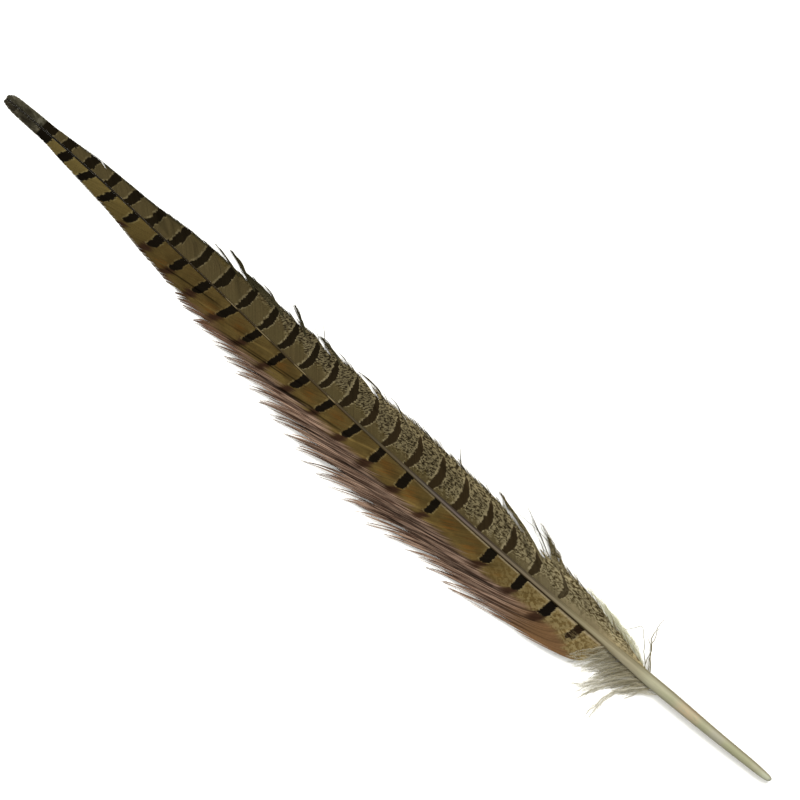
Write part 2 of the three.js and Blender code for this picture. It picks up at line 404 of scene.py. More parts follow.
def bar_place(along, offset, side):
    """Phase, which rises by one from bar to bar, the bar's half width in phase, and its strength."""
    out = np.abs(offset)
    centres, widths, strengths = np.array(BARS[side], dtype=float).T
    if side == FRINGED:
        straight = along - profile(BAR_LEAN, along) * (out - profile(BAR_LEAN_CENTRE, along))
    else:
        beyond = out - BAR_CURVE_CENTRE
        curve = np.where(beyond > 0, profile(BAR_CURVE_OUT, along), profile(BAR_CURVE_IN, along))
        straight = along - curve * beyond**2
    step = np.clip(np.searchsorted(centres, straight) - 1, 0, len(centres) - 2)
    gap = centres[step + 1] - centres[step]
    phase = step + (straight - centres[step]) / gap
    nearest = np.clip(np.round(phase).astype(int), 0, len(centres) - 1)
    if side == FRINGED:
        reach = profile(BAR_REACH, along)
        end = out - BAR_END_SLANT * (straight - centres[nearest])
        past = np.clip((end - reach + BAR_END_ROUNDING) / BAR_END_ROUNDING, 0, 1)
    else:
        past = np.clip(np.abs(out - BAR_LENS_CENTRE) / profile(BAR_LENS, along), 0, 1)
    taper = np.sqrt(np.maximum(1 - past**2, 0))
    half = widths[nearest] * taper / 2 / gap
    return columns(phase, np.maximum(half, 1e-4), strengths[nearest] * ease(taper, 0.05, 0.3))


def smear_beyond_bars(along, offset):
    """The dark shade that runs on along the barbs past the end of each of the fringed side's bars."""
    centres, widths, strengths = np.array(FRINGED_BARS, dtype=float).T
    reach = profile(BAR_REACH, along)
    drift = profile(BAR_LEAN, along) * (reach - BAR_LEAN_CENTRE[0][1])
    drift = along - drift - SMEAR_LEAN * np.maximum(offset - reach, 0)
    nearest = np.abs(drift[:, None] - centres[None, :]).argmin(axis=1)
    near = np.abs(drift - centres[nearest]) / (SMEAR_WIDTH * widths[nearest])
    shade = strengths[nearest] * (1 - ease(near, 0.5, 1.3)) * ease(centres[nearest], *SMEARED_FROM)
    return shade * ease(offset - reach, -1.2, 0.2) * (1 - ease(offset - reach, *SMEAR_FADE))


# ---- The vanes ---------------------------------------------------------------------------------

# How flat the barbs lie to the shaft: mm along for each mm out, at the root, in the middle and at
# the tip, the offsets between which the course turns from the first to the second, and the share
# of the width from which it turns to the third.
FRINGED_COURSE = {
    "root": [(80, 0.4), (91, 0.42), (116, 0.85), (137, 1.3), (180, 2.2), (215, 2.7), (LENGTH, 2.6)],
    "turn": [
        (80, 10), (95, 10), (116, 7), (137, 7), (171, 9), (211, 9), (235, 6), (248, 3), (300, 2.5),
        (380, 1.5), (LENGTH, 0.5),
    ],
    "turned": [
        (80, 18), (95, 18), (116, 16), (137, 14), (171, 13), (211, 13), (235, 10), (248, 6.5),
        (300, 6), (380, 4), (LENGTH, 2),
    ],
    "middle": [(80, 4.5), (150, 4.2), (215, 4.6), (LENGTH, 4.8)],
    "tip": [
        (80, 4.5), (95, 3.8), (110, 2.4), (137, 2), (171, 2), (215, 2.2), (290, 2.6), (320, 3),
        (LENGTH, 2.6),
    ],
    "tip_from": [
        (80, 0.98), (95, 0.9), (110, 0.6), (150, 0.48), (215, 0.42), (300, 0.5), (LENGTH, 0.6),
    ],
}
MOTTLED_COURSE = {
    "root": [(70, 0.9), (120, 1), (300, 1), (400, 1.6), (LENGTH, 2.2)],
    "turn": [(70, 2.5), (90, 4), (130, 7.5), (200, 8.5), (280, 7), (340, 4.5), (400, 2), (LENGTH, 1)],
    "turned": [(70, 6), (90, 9), (130, 14), (200, 16), (280, 13), (340, 9), (400, 4.5), (LENGTH, 3)],
    "middle": [(70, 4), (LENGTH, 4)],
    "tip": [(70, 4.5), (LENGTH, 4.5)],
    "tip_from": [(70, 0.9), (LENGTH, 0.9)],
}
COURSE = {FRINGED: FRINGED_COURSE, MOTTLED: MOTTLED_COURSE}
OUT_STEP = 0.2
OUTWARD = np.arange(0.0, 29.0, OUT_STEP)  # the offsets at which every barb's course is worked out
ROOT_INSIDE = 0.7  # how far out within the shaft the barbs start, as a share of its half width
ROOT_SCATTER = 0.12  # as a share of the spacing
TIP_MARGIN = 0.4  # barbs end this far before the feather's tip
LAST_ROOT = LENGTH - 1.2
GAP_REACH = 2.2  # a slit cuts the barbs whose course comes within this many of its widths
NO_GAP = 99.0  # an offset beyond every barb's tip
LINE_WIDTH = 1.6  # how far to each side a line fades
LINE_BEND = 0.12  # as a share of the line's length along
TUFT_UNEVEN = 0.4  # how unequal in length the tufts are, then their strands and single barbs
STRAND_UNEVEN = 0.45
BARB_UNEVEN = 0.3
PARTED_SHARE = 0.55  # the share of the strands that are parted from the strand before
NARROWEST = 0.09  # half widths of a barb in the closed part of a vane
WIDEST = 0.7
BARB_TAPER = 0.6  # how much narrower a barb is at its very tip


def barb_courses(roots, side):
    """For each root, how far along the barb is at every offset of OUTWARD, and its last offset."""
    course = COURSE[side]
    start = np.abs(profile(SHAFT_SIDE[side], roots)) * ROOT_INSIDE
    along = np.tile(roots[:, None], (1, len(OUTWARD)))
    ends = np.full(len(roots), OUTWARD[-1])
    open_ended = np.ones(len(roots), dtype=bool)
    root_lie, middle_lie, tip_lie = [profile(course[k], roots) for k in ("root", "middle", "tip")]
    turn, turned, tip_from = [profile(course[k], roots) for k in ("turn", "turned", "tip_from")]
    for j, out in enumerate(OUTWARD[1:], 1):
        width = vane_width(along[:, j - 1], side)
        lie = root_lie + (middle_lie - root_lie) * ease(out, turn, turned)
        lie = lie + (tip_lie - lie) * ease(out / width, tip_from, 1.0)
        step = np.where(out > start, lie * (out - OUTWARD[j - 1]), 0)
        along[:, j] = along[:, j - 1] + step
        now = vane_width(along[:, j], side)
        past_edge = (out >= now) | (along[:, j] > LENGTH - TIP_MARGIN)
        done = open_ended & past_edge & (out > start + OUT_STEP)
        # the barb ends part way through this step, where it meets the vane's outline
        before = OUTWARD[j - 1] - width
        share = np.clip(before / np.minimum(before - (out - now), -1e-6), 0, 1)
        ends[done] = (OUTWARD[j - 1] + share * OUT_STEP)[done]
        open_ended &= ~done
    return along, start, ends


def spaced(low, high, spacing, rng):
    """Root places from low to high, with a spacing that is a profile and a little scatter."""
    places = [low]
    while places[-1] < high:
        places.append(places[-1] + float(profile(spacing, places[-1])))
    places = np.array(places)
    scatter = rng.uniform(-ROOT_SCATTER, ROOT_SCATTER, len(places))
    return places + scatter * profile(spacing, places)


def tuft_places(tips, bounds):
    """The tuft that each barb belongs to, by where its tip lies, and where it is in the tuft."""
    tuft = np.searchsorted(bounds, tips)
    place = np.zeros(len(tips))
    for g in np.unique(tuft):
        members = tuft == g
        low, high = tips[members].min(), tips[members].max()
        place[members] = (tips[members] - (low + high) / 2) / max((high - low) / 2, 0.5)
    return tuft, place


def strand_numbers(tufts, sizes, rng):
    """Numbers the small strands of a few barbs each that a tuft is made of."""
    numbers = np.zeros(len(tufts), dtype=int)
    number, left = 0, 0
    for i in range(len(tufts)):
        if left == 0 or (i > 0 and tufts[i] != tufts[i - 1]):
            number += 1
            left = rng.integers(*sizes)
        numbers[i] = number
        left -= 1
    return numbers


def mean_courses(along, numbers):
    """The middle course of each numbered bunch of barbs."""
    return {n: along[numbers == n].mean(axis=0) for n in np.unique(numbers)}


def cut_by_gaps(course, gaps):
    """The offset past which a barb is missing because it would cross a gap, or NO_GAP."""
    for along, out, width in gaps:
        if abs(np.interp(out, OUTWARD, course) - along) < width * GAP_REACH:
            return out
    return NO_GAP


def line_shade(x, out, lines):
    """Dark (+) lines of painted shade where barbs have parted, and light (-) lines, that follow barbs:
    (along, out) at both ends, and shade.
    """
    shade = np.zeros_like(x)
    for along_0, out_0, along_1, out_1, amount in lines:
        share = np.clip((out - out_0) / (out_1 - out_0), -1, 2)
        length = along_1 - along_0
        middle = along_0 + length * share + length * LINE_BEND * share * (1 - share)
        near = np.exp(-(((x - middle) / LINE_WIDTH) ** 2))
        ends = ease(share, -0.08, 0.15) * (1 - ease(share, 0.75, 1.1))
        shade = shade + amount * near * ends
    return np.clip(shade, -1, 1)


def grow_vane(side, habit, rng):
    """Gathers a vane's barbs, zipped together near the shaft and parted into tufts at the edge."""
    strands = Strands(["vane_place", "bar_place", "barb_place", "zone"])
    roots = spaced(WIDTH[side][0][0] - 1, LAST_ROOT, habit["spacing"], rng)
    along, start, ends = barb_courses(roots, side)
    tips = np.array([np.interp(end, OUTWARD, a) for end, a in zip(ends, along)])
    tuft, place = tuft_places(tips, np.array(habit["tufts"]))
    small = strand_numbers(tuft, habit["strand_sizes"], rng)
    tuft_course, small_course = mean_courses(along, tuft), mean_courses(along, small)
    tuft_random = rng.uniform(0, 1, (tuft.max() + 1, 3))
    small_random = rng.uniform(0, 1, (small.max() + 1, 4))
    gap_to_next = np.abs(np.gradient(along, axis=0))
    for i in range(len(roots)):
        g, m = tuft[i], small[i]
        opens = profile(habit["opening"], tips[i]) + 0.1 * (tuft_random[g, 0] - 0.5)
        ragged = profile(habit["ragged"], tips[i])
        fray = profile(habit["fray"], tips[i])
        short = TUFT_UNEVEN * tuft_random[g, 1] + STRAND_UNEVEN * small_random[m, 0]
        short = short + BARB_UNEVEN * rng.random()
        short = ragged * (short + 0.5 * max(-place[i], 0) ** 2)
        if place[i] < -profile(habit["notch"], tips[i]) and fray > 0.3:
            short = max(short, 1 - opens - 0.12 * tuft_random[g, 2])
        end = start[i] + (ends[i] - start[i]) * (1 - short + habit["overshoot"] * fray)
        end = min(end, cut_by_gaps(along[i], habit["gaps"]))
        out = np.append(OUTWARD[(OUTWARD >= start[i]) & (OUTWARD < end - 0.05)], end)
        if len(out) < 3:
            continue
        course = np.interp(out, OUTWARD, along[i])
        share = out / ends[i]
        tuft_pull = np.interp(out, OUTWARD, tuft_course[g]) - course
        small_pull = np.interp(out, OUTWARD, small_course[m]) - course
        gather = fray * profile(habit["gather"], tips[i])
        course = course + tuft_pull * gather * ease(share, opens, 1.05)
        bunching = habit["strand_gather"] * (0.2 + 0.8 * fray)
        course = course + small_pull * bunching * ease(share, opens - 0.1, 1.0)
        # The first barb of a strand that has parted from the one before is made darker: painted shade
        # at the parting.
        parted = float(i > 0 and small[i - 1] != m and small_random[m, 2] < PARTED_SHARE)
        wave = np.sin(2 * np.pi * (share * (0.8 + small_random[m, 1]) + small_random[m, 2]))
        sway = fray * habit["sway"] * ease(share, opens - 0.1, 1.0)
        outward = out + sway * (wave + rng.normal(0, 0.5))
        at, x, y, lengths = resample(course, outward, habit["step"])
        plain = np.interp(at, lengths, out)
        bar_shift = profile(habit["bar_shift"], roots[i]) * (small_random[m, 3] - 0.5)
        add_barb(strands, side, habit, {
            "x": x, "y": y, "at": at, "plain": plain, "share": plain / ends[i],
            "gap": np.interp(plain, OUTWARD, gap_to_next[i]), "opens": opens, "fray": fray,
            "lift": (tuft_random[g, 2] - 0.5) * 2, "order": place[i], "root": roots[i],
            "tone": 1.1 * (small_random[m, 3] - 0.5) * 2 + rng.normal(0, 0.5) - 2 * parted,
            "jag": 2 * (small_random[m, 1] - 0.5) + rng.normal(0, 0.25),
            "bar_shift": bar_shift + rng.normal(0, 0.1),
        })
    return strands


def add_barb(strands, side, habit, barb):
    """One barb of a vane, narrowed to a hair where its tuft has come loose."""
    x, y, share = barb["x"], barb["y"], barb["share"]
    run, rise_out = np.gradient(x), np.gradient(y)
    steepness = np.abs(rise_out) / np.maximum(np.hypot(run, rise_out), 1e-6)
    closed = np.maximum(0.5 * barb["gap"] * steepness * habit["cover"], NARROWEST)
    loose = ease(share, barb["opens"], 1.0) * barb["fray"]
    half = closed + (habit["hair"] - closed) * loose
    near_tip = ease(barb["at"] / barb["at"][-1], 0.9, 1.0)
    half = np.minimum(half, WIDEST) * (1 - BARB_TAPER * near_tip)
    tilt = np.minimum(0.2 * half, 0.05)
    height = vane_height(x, y, side) + barb["lift"] * habit["lift"] * ease(share, 0.25, 0.9)
    height = np.maximum(height + 0.06 * barb["order"] * loose - 0.05, 0.02 + tilt)
    ridge_rise = habit["rise"] * (1 - 0.5 * near_tip)
    left, ridge, right = strand_sides(x, side * y, height, half, ridge_rise, tilt * side)
    # Painted shade: dark lines where the vane has parted. The pale tips make the barbs' ends lighter.
    line = line_shade(x, barb["plain"], habit["lines"])
    line = line - profile(habit["pale_tips"], x) * ease(share, 0.6, 1.0)
    strands.add(left, ridge, right, {
        "vane_place": columns(x, barb["plain"], line),
        "bar_place": bar_place(x + barb["bar_shift"], barb["plain"], side),
        "barb_place": columns(barb["at"], barb["root"], barb["tone"]),
        "zone": habit["zone"](x, np.maximum(barb["plain"] + barb["jag"], 0), share),
    })


def add_sprung_barbs(strands, side, rng):
    """Barbs that have sprung away from the vane's edge, in small bunches."""
    for points, count, spread, half, shade in SPRUNG_BARBS + shaggy_edge(rng):
        ends = np.array(points, dtype=float)
        for k in range(count):
            shift = rng.normal(0, spread, (len(ends), 2)) * np.linspace(0.5, 1.2, len(ends))[:, None]
            shorter = 1 - 0.2 * rng.random() * (k > 0)
            x, y, at = smooth_course(ends + shift, 0.8, shorter)
            grow = at / at[-1]
            narrow = half * (1 - 0.75 * grow**1.5)
            width = vane_width(x, side)
            inside = np.minimum(y, width)
            height = vane_height(x, inside, side)
            height = np.maximum(height + 0.12 + 0.5 * ease(grow, 0.2, 1) * rng.uniform(0.3, 1), 0.05)
            left, ridge, right = strand_sides(x, side * y, height, narrow, narrow * 0.8)
            zone = mottled_zone(x, inside, inside / width)
            zone[:, 1] = np.maximum(zone[:, 1] * (shade > 0.2), shade)
            no_bar = bar_place(np.full(len(x), x[0]), np.full(len(x), 12.0), side) * [1, 1, 0]
            strands.add(left, ridge, right, {
                "vane_place": columns(x, y + 2.3 * k, -0.5 * (shade < 0.1)),
                "bar_place": no_bar,
                "barb_place": columns(at, x[0] + k, rng.normal(0, 1)),
                "zone": zone,
            })


SHAGGY_ROOTS = np.arange(78, 246, 1.6)


def shaggy_edge(rng):
    """Short loose barbs all along the mottled vane's edge, as entries for SPRUNG_BARBS."""
    barbs = []
    for root in SHAGGY_ROOTS:
        start = root + rng.uniform(-0.8, 0.8)
        if any(-5 < start - gap[0] < 8 for gap in MOTTLED_HABIT["gaps"]):
            continue
        width = float(vane_width(start, MOTTLED))
        length = rng.uniform(4, 10)
        rise = rng.uniform(0.02, 0.17) * length
        end_width = float(vane_width(start + length, MOTTLED))
        points = [
            (start, width - 1.6), (start + 0.4 * length, 0.6 * width + 0.4 * end_width - 0.5),
            (start + length, end_width + rise),
        ]
        barbs.append((points, 2, 0.15, rng.uniform(0.08, 0.16), rng.uniform(0, 0.35)))
    return barbs


def smooth_course(points, step, share=1.0):
    """Places about step apart on a smooth curve through a few points, and the way along it."""
    gaps = np.hypot(*np.diff(points, axis=0).T)
    way = np.concatenate([[0], np.cumsum(gaps)])
    at = np.linspace(0, way[-1] * share, max(int(way[-1] * share / step), 4) + 1)
    x = profile(list(zip(way, points[:, 0])), at)
    y = profile(list(zip(way, points[:, 1])), at)
    return x, y, at


def patches(along, out, places):
    """How much a point lies in any of several soft round patches: (along, out, radius, radius out)."""
    found = np.zeros_like(along)
    for at, across, size, size_out in places:
        away = ((along - at) / size) ** 2 + ((out - across) / size_out) ** 2
        found = np.maximum(found, np.exp(-away))
    return found


# Warm orange-brown patches on the fringed side, and where its mauve fringe begins.
WARM_PATCHES = [
    (269, 4.5, 3, 2), (237, 3.5, 4, 2), (208, 5, 4, 2.5), (193, 6, 4, 3), (172, 5, 4, 3),
    (160, 6, 4, 3), (142, 8, 3, 2), (293, 5, 3, 2.5), (252, 5, 3, 1.5), (306, 8, 5, 2),
    (335, 8, 4, 1.5), (107, 8, 3, 2),
]
FRINGE_FROM = [
    (90, 15), (100, 12), (107, 9.4), (113, 8.4), (122, 8.4), (145, 9.8), (165, 9.6), (190, 10.4),
    (215, 10), (240, 9.8), (262, 9.6), (285, 10.6), (325, 11.4), (340, 10.8), (356, 10.2),
    (LENGTH, 9.9),
]
TIP_FROM = 409.5  # the dark tip begins past the last pair of bars

# Where the mottled side's plain grey band by the shaft gives way to mottling.
MOTTLED_FROM = [
    (74, 3.4), (105, 4.2), (125, 4), (145, 3.3), (180, 2.8), (205, 3), (225, 4), (245, 5.2),
    (258, 5.6), (270, 6.2), (300, 9.5), (LENGTH, 10),
]

# Pale flecks and black smudges on the dark tip.
FRINGED_FLECKS = [
    (423, 1.1, 0.9, 0.6), (412.7, 0.9, 0.6, 0.5), (411, 1.1, 1.0, 0.7), (413.6, 2.8, 0.9, 0.6),
]
MOTTLED_FLECKS = [(413.2, 2.0, 1.2, 1.5), (427.6, 2.2, 0.9, 0.7), (416.2, 3.2, 0.8, 0.4)]
FRINGED_SMUDGES = [(418, 1.4, 4, 1.3), (425, 1.2, 2.5, 0.8)]
MOTTLED_SMUDGES = [(419, 1.2, 4.4, 1.1)]


def tip_zone(zone, along, out, flecks, smudges):
    """On the tip the first two values stand for pale flecks and black smudges instead."""
    on_tip = along > TIP_FROM
    zone[on_tip, 0] = patches(along, out, flecks)[on_tip]
    zone[on_tip, 1] = patches(along, out, smudges)[on_tip]
    return zone


def fringed_zone(along, out, _share):
    """Warmth of the ground, how far into the mauve fringe, and the shade past the bars."""
    warm = patches(along, out, WARM_PATCHES)
    start = profile(FRINGE_FROM, along)
    fringe = ease(out, start - 1.2, start + 2.4)
    zone = columns(warm, fringe, smear_beyond_bars(along, out))
    return tip_zone(zone, along, out, FRINGED_FLECKS, FRINGED_SMUDGES)


def mottled_zone(along, out, share):
    """How mottled, the dark rim along the outer edge, and the plain grey band by the shaft."""
    inner = profile(MOTTLED_FROM, along)
    mottling = ease(out, inner - 1.2, inner + 2) * (1 - 0.8 * ease(along, 285, 325))
    rim = ease(share, 0.84, 0.95) * ease(along, 258, 300) * (1 - ease(along, 396, 404))
    plain = 1 - ease(out, inner - 1, inner + 1.5)
    zone = columns(mottling, rim, plain)
    return tip_zone(zone, along, out, MOTTLED_FLECKS, MOTTLED_SMUDGES)


def ground_colour(s, look, side, along, out, zone, cloud, streak, base):
    """The colour between the bars by the shaft, with warm patches on the fringed side."""
    ground = s.tint(paint(*look["ground"]), look["ground_2"], s.step(cloud, 0.38, 0.62))
    if side == FRINGED:
        ground = s.tint(ground, look["warm"], zone[0], s.step(streak, 0.36, 0.56))
        ground = s.tint(ground, look["streaks"], s.step(streak, 0.54, 0.7), 0.6)
    ground = s.tint(ground, look["pale_base"], base)
    ground = s.tint(ground, look["ground_far"], s.step(along, 330, 385))
    if side == FRINGED:
        paler = s.times(s.step(out, 5.5, 7.5), s.step(along, 132, 150), s.step(along, 330, 300))
        ground = s.scale(ground, s.plus(1.0, s.times(paler, 0.32)))
    return ground


def mottling_colour(s, look, along, out, base):
    """Short dark wavy dashes that lie along the feather."""
    slant = s.times(out, look["dash_slant"])
    specks, streaks = [
        s.noise(
            s.plus(along, lean), out, look["dash_along" + place], look["dash_out" + place], 1.0,
            detail=4, distortion=0.4,
        )
        for place, lean in (("", slant), ("_base", 0.0))
    ]
    dash = s.step(s.mix(s.step(along, 245, 190), specks, streaks), 0.43, 0.57)
    light = s.tint(paint(*look["dash_light"]), look["dash_light_base"], base)
    dark = s.tint(paint(*look["dash_dark"]), look["dash_dark_base"], base)
    return s.mix(dash, light, dark)


def mottled_side(s, look, along, zone, ground, mottled):
    """The plain band by the shaft, the mottling beyond it and the dark rim towards the tip."""
    plain = s.tint(paint(*look["plain"]), look["plain_base"], s.step(along, 150, 104))
    colour = s.mix(s.times(zone[2], 0.8), ground, plain)
    colour = s.mix(zone[0], colour, mottled)
    return s.tint(colour, look["rim_dark"], zone[1], 0.85)


def fringed_side(s, look, along, out, zone, streak, ground, mottled):
    """The ground, a pale line at the barbs' roots, the mauve fringe and the shade past the bars."""
    colour = s.mix(s.times(s.step(along, 165, 120), 0.8), ground, mottled)
    root_edge = s.mix_value(s.step(along, 135, 100), 1.4, 2.0)
    root_line = s.times(s.step(s.minus(out, root_edge), 0.1, -0.3), s.step(along, 215, 140))
    colour = s.tint(colour, look["root_line"], root_line, 0.8)
    fringe = s.tint(paint(*look["mauve_dark"]), look["mauve"], s.step(streak, 0.38, 0.62))
    fringe = s.tint(fringe, look["mauve_far"], s.step(along, 270, 310))
    fringe = s.tint(fringe, look["brown"], s.step(along, 142, 112))
    deeper = s.times(s.step(along, 200, 170), s.step(along, 112, 125), 0.08)
    colour = s.mix(zone[1], colour, s.scale(fringe, s.minus(1.0, deeper)))
    return s.tint(colour, look["smear"], zone[2])


def bars_over(s, look, colour, along, out, fine, base):
    """Bars, each with a pale rim that is wider towards the tip."""
    phase, half, strength = s.attribute("bar_place")
    blot = s.noise(along, out, 0.5, 0.6, 15.0)
    ragged = s.times(s.minus(fine, 0.5), look["ragged"])
    ragged = s.plus(ragged, s.times(s.minus(blot, 0.5), look["ragged"]))
    around = s.minus(s.math("FRACT", s.plus(phase, 0.5)), 0.5)
    past = s.plus(s.minus(s.math("ABSOLUTE", around), half), ragged)
    tipward = s.math("GREATER_THAN", around, 0.0)
    rim_width = s.plus(look["rim_width"], s.times(tipward, look["rim_extra"]))
    rim = s.step(s.math("DIVIDE", past, rim_width), 1.15, 0.75)
    rim_colour = s.tint(paint(*look["rim"]), look["rim_base"], base)
    rim_colour = s.tint(rim_colour, look["rim_far"], s.step(along, 325, 350))
    broken = s.times(s.step(blot, 0.4, 0.56), s.mix_value(s.step(along, 330, 250), 0.45, 1.0))
    rim = s.times(rim, strength, s.step(half, 0.02, 0.07), broken, look["rim_amount"])
    colour = s.mix(rim, colour, rim_colour)
    stripes = s.noise(along, out, 0.4, 1.6, 11.0)
    stripes = s.times(s.step(stripes, 0.48, 0.56), s.step(along, 111, 107), s.step(out, 3.4, 4.4))
    bar = s.times(s.step(past, 0.012, -0.012), strength, s.minus(1.0, s.times(stripes, 0.4)))
    brown = s.step(along, look["black_at"], look["brown_at"])
    bar_colour = s.tint(paint(*look["bar"]), look["bar_brown"], brown)
    bar_colour = s.tint(bar_colour, look["last_bar"], s.step(along, 112, 107))
    return s.mix(bar, colour, bar_colour)


def tip_over(s, look, colour, along, out, zone):
    """The dark tip, with pale flecks and black smudges."""
    mist = s.noise(along, out, 0.45, 0.9, 9.0)
    tip = s.tint(paint(*look["tip"]), look["tip_edge"], s.step(mist, 0.4, 0.6))
    tip = s.scale(tip, s.plus(0.62, s.times(s.step(out, 0.2, 3.0), 0.52)))
    tip = s.tint(tip, look["bar"], s.step(zone[1], 0.3, 0.8), 0.6)
    tip = s.tint(tip, look["tip_fleck"], s.step(zone[0], 0.3, 0.65), 0.85)
    return s.mix(s.step(along, 410.4, 411.4), colour, tip)


LEAST_LIGHT = 0.15


def barb_light(s, look, side, along, line, tone, zone, streak, cloud, fine):
    """Streaks along the barbs, a tone for each barb, and lines where the vane has parted, the dark
    ones painted shade.
    """
    light = s.plus(1.0, s.times(s.minus(streak, 0.5), look["streak"]))
    strand_tone = look["tone"]
    if side == FRINGED:
        loose = s.times(zone[1], s.step(along, 106, 138))
        strand_tone = s.plus(look["tone"], s.times(loose, look["fringe_tone"]))
    light = s.plus(light, s.times(tone, strand_tone))
    light = s.plus(light, s.times(s.minus(fine, 0.5), 0.3))
    # Painted shade: the dark lines darken the barbs where the vane has parted; negative values
    # lighten.
    light = s.minus(light, s.times(line, 0.9))
    if side == MOTTLED:
        light = s.plus(light, s.times(s.step(along, 104, 84), 0.75))
        light = s.plus(light, s.times(s.minus(cloud, 0.5), 1.3, s.step(along, 140, 112)))
    return s.math("MAXIMUM", light, LEAST_LIGHT)


BARBULE_SPACING = 0.22
UNDERSIDE_GREY = (120, 108, 88)
UNDERSIDE_SHARE = 0.45


def vane_material(name, look, side, underside=False):
    """The barbs' colours: ground, mottling or fringe, pale-rimmed bars and the dark tip."""
    s = Surface(name)
    along, out, line = s.attribute("vane_place")
    length, root, tone = s.attribute("barb_place")
    zone = s.attribute("zone")
    streak = s.noise(root, length, 0.9, 0.05, detail=3)
    cloud = s.noise(along, out, 0.09, 0.16, 3.0)
    fine = s.noise(length, root, 1.3, 1.7, 7.0)
    base = s.step(along, look["pale_from"], look["pale_to"])

    ground = ground_colour(s, look, side, along, out, zone, cloud, streak, base)
    mottled = mottling_colour(s, look, along, out, base)
    if side == MOTTLED:
        colour = mottled_side(s, look, along, zone, ground, mottled)
    else:
        colour = fringed_side(s, look, along, out, zone, streak, ground, mottled)
    colour = bars_over(s, look, colour, along, out, fine, base)
    colour = tip_over(s, look, colour, along, out, zone)
    light = barb_light(s, look, side, along, line, tone, zone, streak, cloud, fine)
    colour = s.scale(colour, light)
    if underside:
        colour = s.tint(colour, UNDERSIDE_GREY, UNDERSIDE_SHARE)

    # Barbules: fine ribs across each barb.
    ribs = s.math("SINE", s.times(length, 2 * math.pi / BARBULE_SPACING))
    s.bump(ribs, 0.00003, 0.25)
    return s.finish(colour, s.plus(0.7, s.times(streak, 0.2)), shine=0.0)


# The vanes' colours, as they look in the light. "_base" is for near the quill and "_far" for near
# the tip. The ground pales from "pale_from" to "pale_to", and the bars go from "bar" at
# "black_at" to "bar_brown" at "brown_at": these four are places along the feather. "dash_along"
# and "dash_out" are about how many dashes there are in a mm, and "dash_slant" leans the far ones.
# "rim_width" and "rim_extra", on the tipward side, are shares of the way from bar to bar.
# "streak", "tone" and "fringe_tone" are how much the barbs' light varies.
FRINGED_LOOK = {
    "ground": (86, 71, 38), "ground_2": (74, 60, 31), "ground_far": (99, 85, 47),
    "warm": (92, 63, 27), "streaks": (62, 46, 23),
    "pale_base": (120, 104, 66), "pale_from": 158, "pale_to": 92,
    "dash_light": (106, 90, 54), "dash_light_base": (137, 121, 83), "dash_dark": (80, 63, 30),
    "dash_dark_base": (96, 78, 45), "dash_along": 0.5, "dash_out": 0.8, "dash_slant": 0.6,
    "dash_along_base": 0.5, "dash_out_base": 0.8,
    "mauve": (140, 116, 98), "mauve_dark": (68, 49, 38), "mauve_far": (92, 68, 53),
    "brown": (108, 81, 54), "smear": (52, 35, 24), "root_line": (156, 141, 110),
    "rim": (108, 94, 60), "rim_base": (140, 126, 92), "rim_far": (144, 132, 90),
    "bar": (15, 12, 10), "bar_brown": (21, 17, 11), "last_bar": (36, 26, 16),
    "black_at": 90, "brown_at": 150,
    "ragged": 0.05, "rim_width": 0.045, "rim_extra": 0.01, "rim_amount": 0.8,
    "tip": (54, 49, 37), "tip_edge": (66, 62, 48), "tip_fleck": (100, 94, 76),
    "streak": 0.6, "tone": 0.04, "fringe_tone": 0.23,
}
MOTTLED_LOOK = {
    "ground": (80, 68, 32), "ground_2": (78, 62, 28), "ground_far": (82, 70, 36),
    "pale_base": (104, 93, 67), "pale_from": 202, "pale_to": 100,
    "dash_light": (108, 98, 71), "dash_light_base": (138, 127, 96), "dash_dark": (32, 25, 13),
    "dash_dark_base": (57, 47, 27), "dash_along": 1.6, "dash_out": 1.1, "dash_slant": 0.9,
    "dash_along_base": 0.6, "dash_out_base": 1.9,
    "plain": (74, 65, 43), "plain_base": (120, 109, 82), "rim_dark": (42, 40, 26),
    "rim": (124, 113, 84), "rim_base": (136, 125, 96), "rim_far": (136, 124, 90),
    "bar": (26, 21, 12), "bar_brown": (43, 34, 20), "last_bar": (64, 54, 36),
    "black_at": 285, "brown_at": 195,
    "ragged": 0.075, "rim_width": 0.04, "rim_extra": 0.035, "rim_amount": 0.9,
    "tip": (60, 57, 43), "tip_edge": (77, 73, 58), "tip_fleck": (96, 92, 76),
    "streak": 0.45, "tone": 0.04,
}
